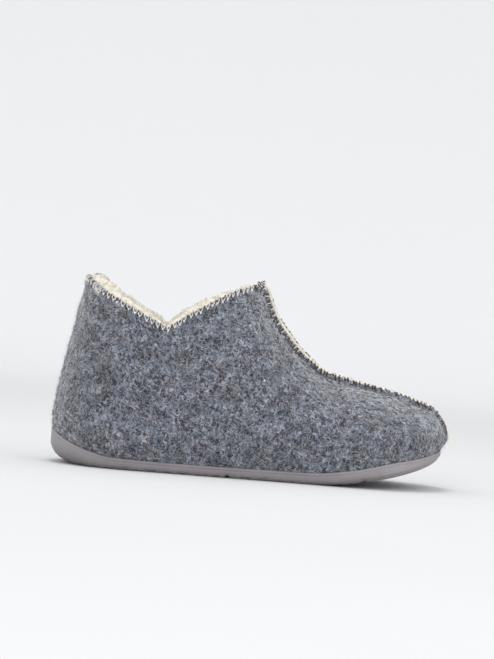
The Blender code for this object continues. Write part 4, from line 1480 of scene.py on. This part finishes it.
# Where they get denser: up the lining and back from its throat, back along the insole, on the strip's
# open faces; and how dense they stay elsewhere
LINING_UP, LINING_BACK, LINING_LEAST = (30.0, 100.0), (128.0, 114.0), 0.08
INSOLE_BACK, INSOLE_LEAST, STRIP_OPEN = (150.0, 90.0), 0.05, (-0.2, 0.6)


def dress_felt(yarns):
    """Felt upper with its stitches, fibres and fuzz; gives back its surface and its skin."""
    wools = {name: fibre_material("wool_" + name, *look) for name, look in WOOLS.items()}
    surface, outer = felt_upper(felt_material())
    skin = Skin(outer, surface.quads)
    felt = (surface, outer, unit(summed_normals(outer, surface.quads)))
    throat = {side: throat_patch(*felt, side) for side in SIDES}
    collar_stitches({side: collar_patch(*felt, side) for side in SIDES}, throat, yarns)
    seam_stitches({side: seam_patch(*felt, side) for side in SIDES}, yarns)
    free = ease(*FIBRE_FADE, above_sole(skin.centres))
    x = skin.centres[:, 0]
    ends = 1.0 + FUZZ_AT_HEEL * ease(*FUZZ_HEEL, x) + FUZZ_AT_TOE * ease(*FUZZ_TOE, x)
    for name, count, length, radius, lift, turn, knots, wool in FELT_FIBRES:
        fibres = lying_fibres(skin, skin.scatter(count, free), length, radius, lift, turn, knots)
        make_piece(name, fibres, wools[wool])
    make_piece("felt_fuzz", standing_fuzz(skin, *FUZZ, free * ends), wools["fuzz"])
    return surface, skin


def dress_fleece(surface):
    """Lining, insole and seam strip with their curls; gives back the lining's skin."""
    fleece = fleece_material()
    curl = curl_material()
    pile = fleece_lining(fleece)
    high = ease(*LINING_UP, pile.centres[:, 2]) + LINING_LEAST
    high = high * ease(*LINING_BACK, pile.centres[:, 0])
    make_piece("fleece_curls", curls(pile, *LINING_CURLS, high), curl)
    pad = fleece_insole(fleece)
    seen = ease(*INSOLE_BACK, pad.centres[:, 0]) + INSOLE_LEAST
    make_piece("insole_curls", curls(pad, *INSOLE_CURLS, seen), curl)
    strip = seam_fleece(surface, fleece)
    out = ease(*STRIP_OPEN, np.abs(strip.normals[:, 0]) + np.abs(strip.normals[:, 2]))
    make_piece("seam_curls", curls(strip, *STRIP_CURLS, out), curl)
    return pile


def dress():
    yarns = {name: thread_material("yarn_" + name, *tones) for name, tones in YARNS.items()}
    surface, skin = dress_felt(yarns)
    pile = dress_fleece(surface)
    loose_bits(skin, pile, yarns)
    moulded_sole(rubber_material())


# Stage, light and camera, in metres and degrees

PHOTO_HEIGHT, PHOTO_FOCAL_PIXELS = 659, 1461.0
VIEW_X, VIEW_DISTANCE, VIEW_HEIGHT, VIEW_ROLL = -0.0073, 1.400, 0.095, 4.3
CLOSER, SENSOR = 1.46, 36.0
# Floor: radius of its rings in the flat part, where it bends up, radius of the bend, angle at its end
FLOOR_RINGS, FLOOR_FLAT, FLOOR_BEND, FLOOR_END = (0.4, 1.0), 2.2, 1.2, 85.0
FLOOR_STEPS, BEND_STEPS = 96, 18
FLOOR_NEAR = [(0.628, 0.630, 0.633), (0.643, 0.645, 0.648)]
FLOOR_FAR, FLOOR_FADE = (0.828, 0.831, 0.835), (0.8, 2.8)
FLOOR_CLOUDS = (3.0, 2.0, 0.2, 0.8)
SKY_TONE, SKY_STRENGTH = (0.97, 0.98, 1.0, 1.0), 1.02
# Lights: name, place, size, power; all point at one place
LIGHTS = [
    ("key", (-0.5, -1.9, 0.55), 0.8, 10.6),
    ("fill", (1.3, -1.2, 0.7), 1.2, 5.0),
    ("top", (-0.07, 0.1, 2.0), 0.6, 12.5),
]
LIT_PLACE = Vector((0.0, 0.0, 0.05))


def floor_material():
    look = Look("floor_pale", roughness=0.9, Specular_IOR_Level=0.1)
    near = look.mix(look.clouds(*FLOOR_CLOUDS), *FLOOR_NEAR)
    radius = look.node("VectorMath", {0: look.coords}, operation="LENGTH").outputs["Value"]
    return look.paint(look.mix(look.band(radius, *FLOOR_FADE), near, FLOOR_FAR))


def floor_and_backdrop():
    """Pale round floor that curves up into a backdrop on every side."""
    profile = [(radius, 0.0) for radius in FLOOR_RINGS]
    for turn in np.linspace(0.0, math.radians(FLOOR_END), BEND_STEPS):
        profile.append((FLOOR_FLAT + FLOOR_BEND * math.sin(turn), FLOOR_BEND * (1.0 - math.cos(turn))))
    points = [(0.0, 0.0, 0.0)]
    for radius, height in profile:
        points += [(radius * math.cos(a), radius * math.sin(a), height) for a in angles(FLOOR_STEPS)]
    faces = []
    for i in range(FLOOR_STEPS):
        j = (i + 1) % FLOOR_STEPS
        faces.append([0, 1 + i, 1 + j])
        for ring in range(len(profile) - 1):
            low = 1 + ring * FLOOR_STEPS
            high = low + FLOOR_STEPS
            faces.append([low + i, high + i, high + j, low + j])
    floor = mesh_object("floor", points, faces, floor_material())


def lights():
    world = bpy.data.worlds.new("studio")
    world.use_nodes = True
    background = world.node_tree.nodes["Background"]
    background.inputs["Color"].default_value = SKY_TONE
    background.inputs["Strength"].default_value = SKY_STRENGTH
    bpy.context.scene.world = world
    for name, place, size, power in LIGHTS:
        data = bpy.data.lights.new(name, "AREA")
        data.shape = "DISK"
        data.size = size
        data.energy = power
        lamp = linked(name, data)
        lamp.location = place
        lamp.visible_camera = False
        lamp.rotation_euler = (LIT_PLACE - Vector(place)).to_track_quat("-Z", "Y").to_euler()


def camera():
    data = bpy.data.cameras.new("camera")
    data.sensor_width = SENSOR
    data.lens = PHOTO_FOCAL_PIXELS * CLOSER / PHOTO_HEIGHT * SENSOR
    made = linked("camera", data)
    made.location = (VIEW_X, -VIEW_DISTANCE, VIEW_HEIGHT)
    level = Euler((math.radians(90.0), 0.0, 0.0)).to_matrix()
    made.rotation_euler = (level @ Euler((0.0, 0.0, math.radians(VIEW_ROLL))).to_matrix()).to_euler()
    bpy.context.scene.camera = made


bpy.context.scene.view_settings.view_transform = "Standard"
camera()
dress()
floor_and_backdrop()
lights()
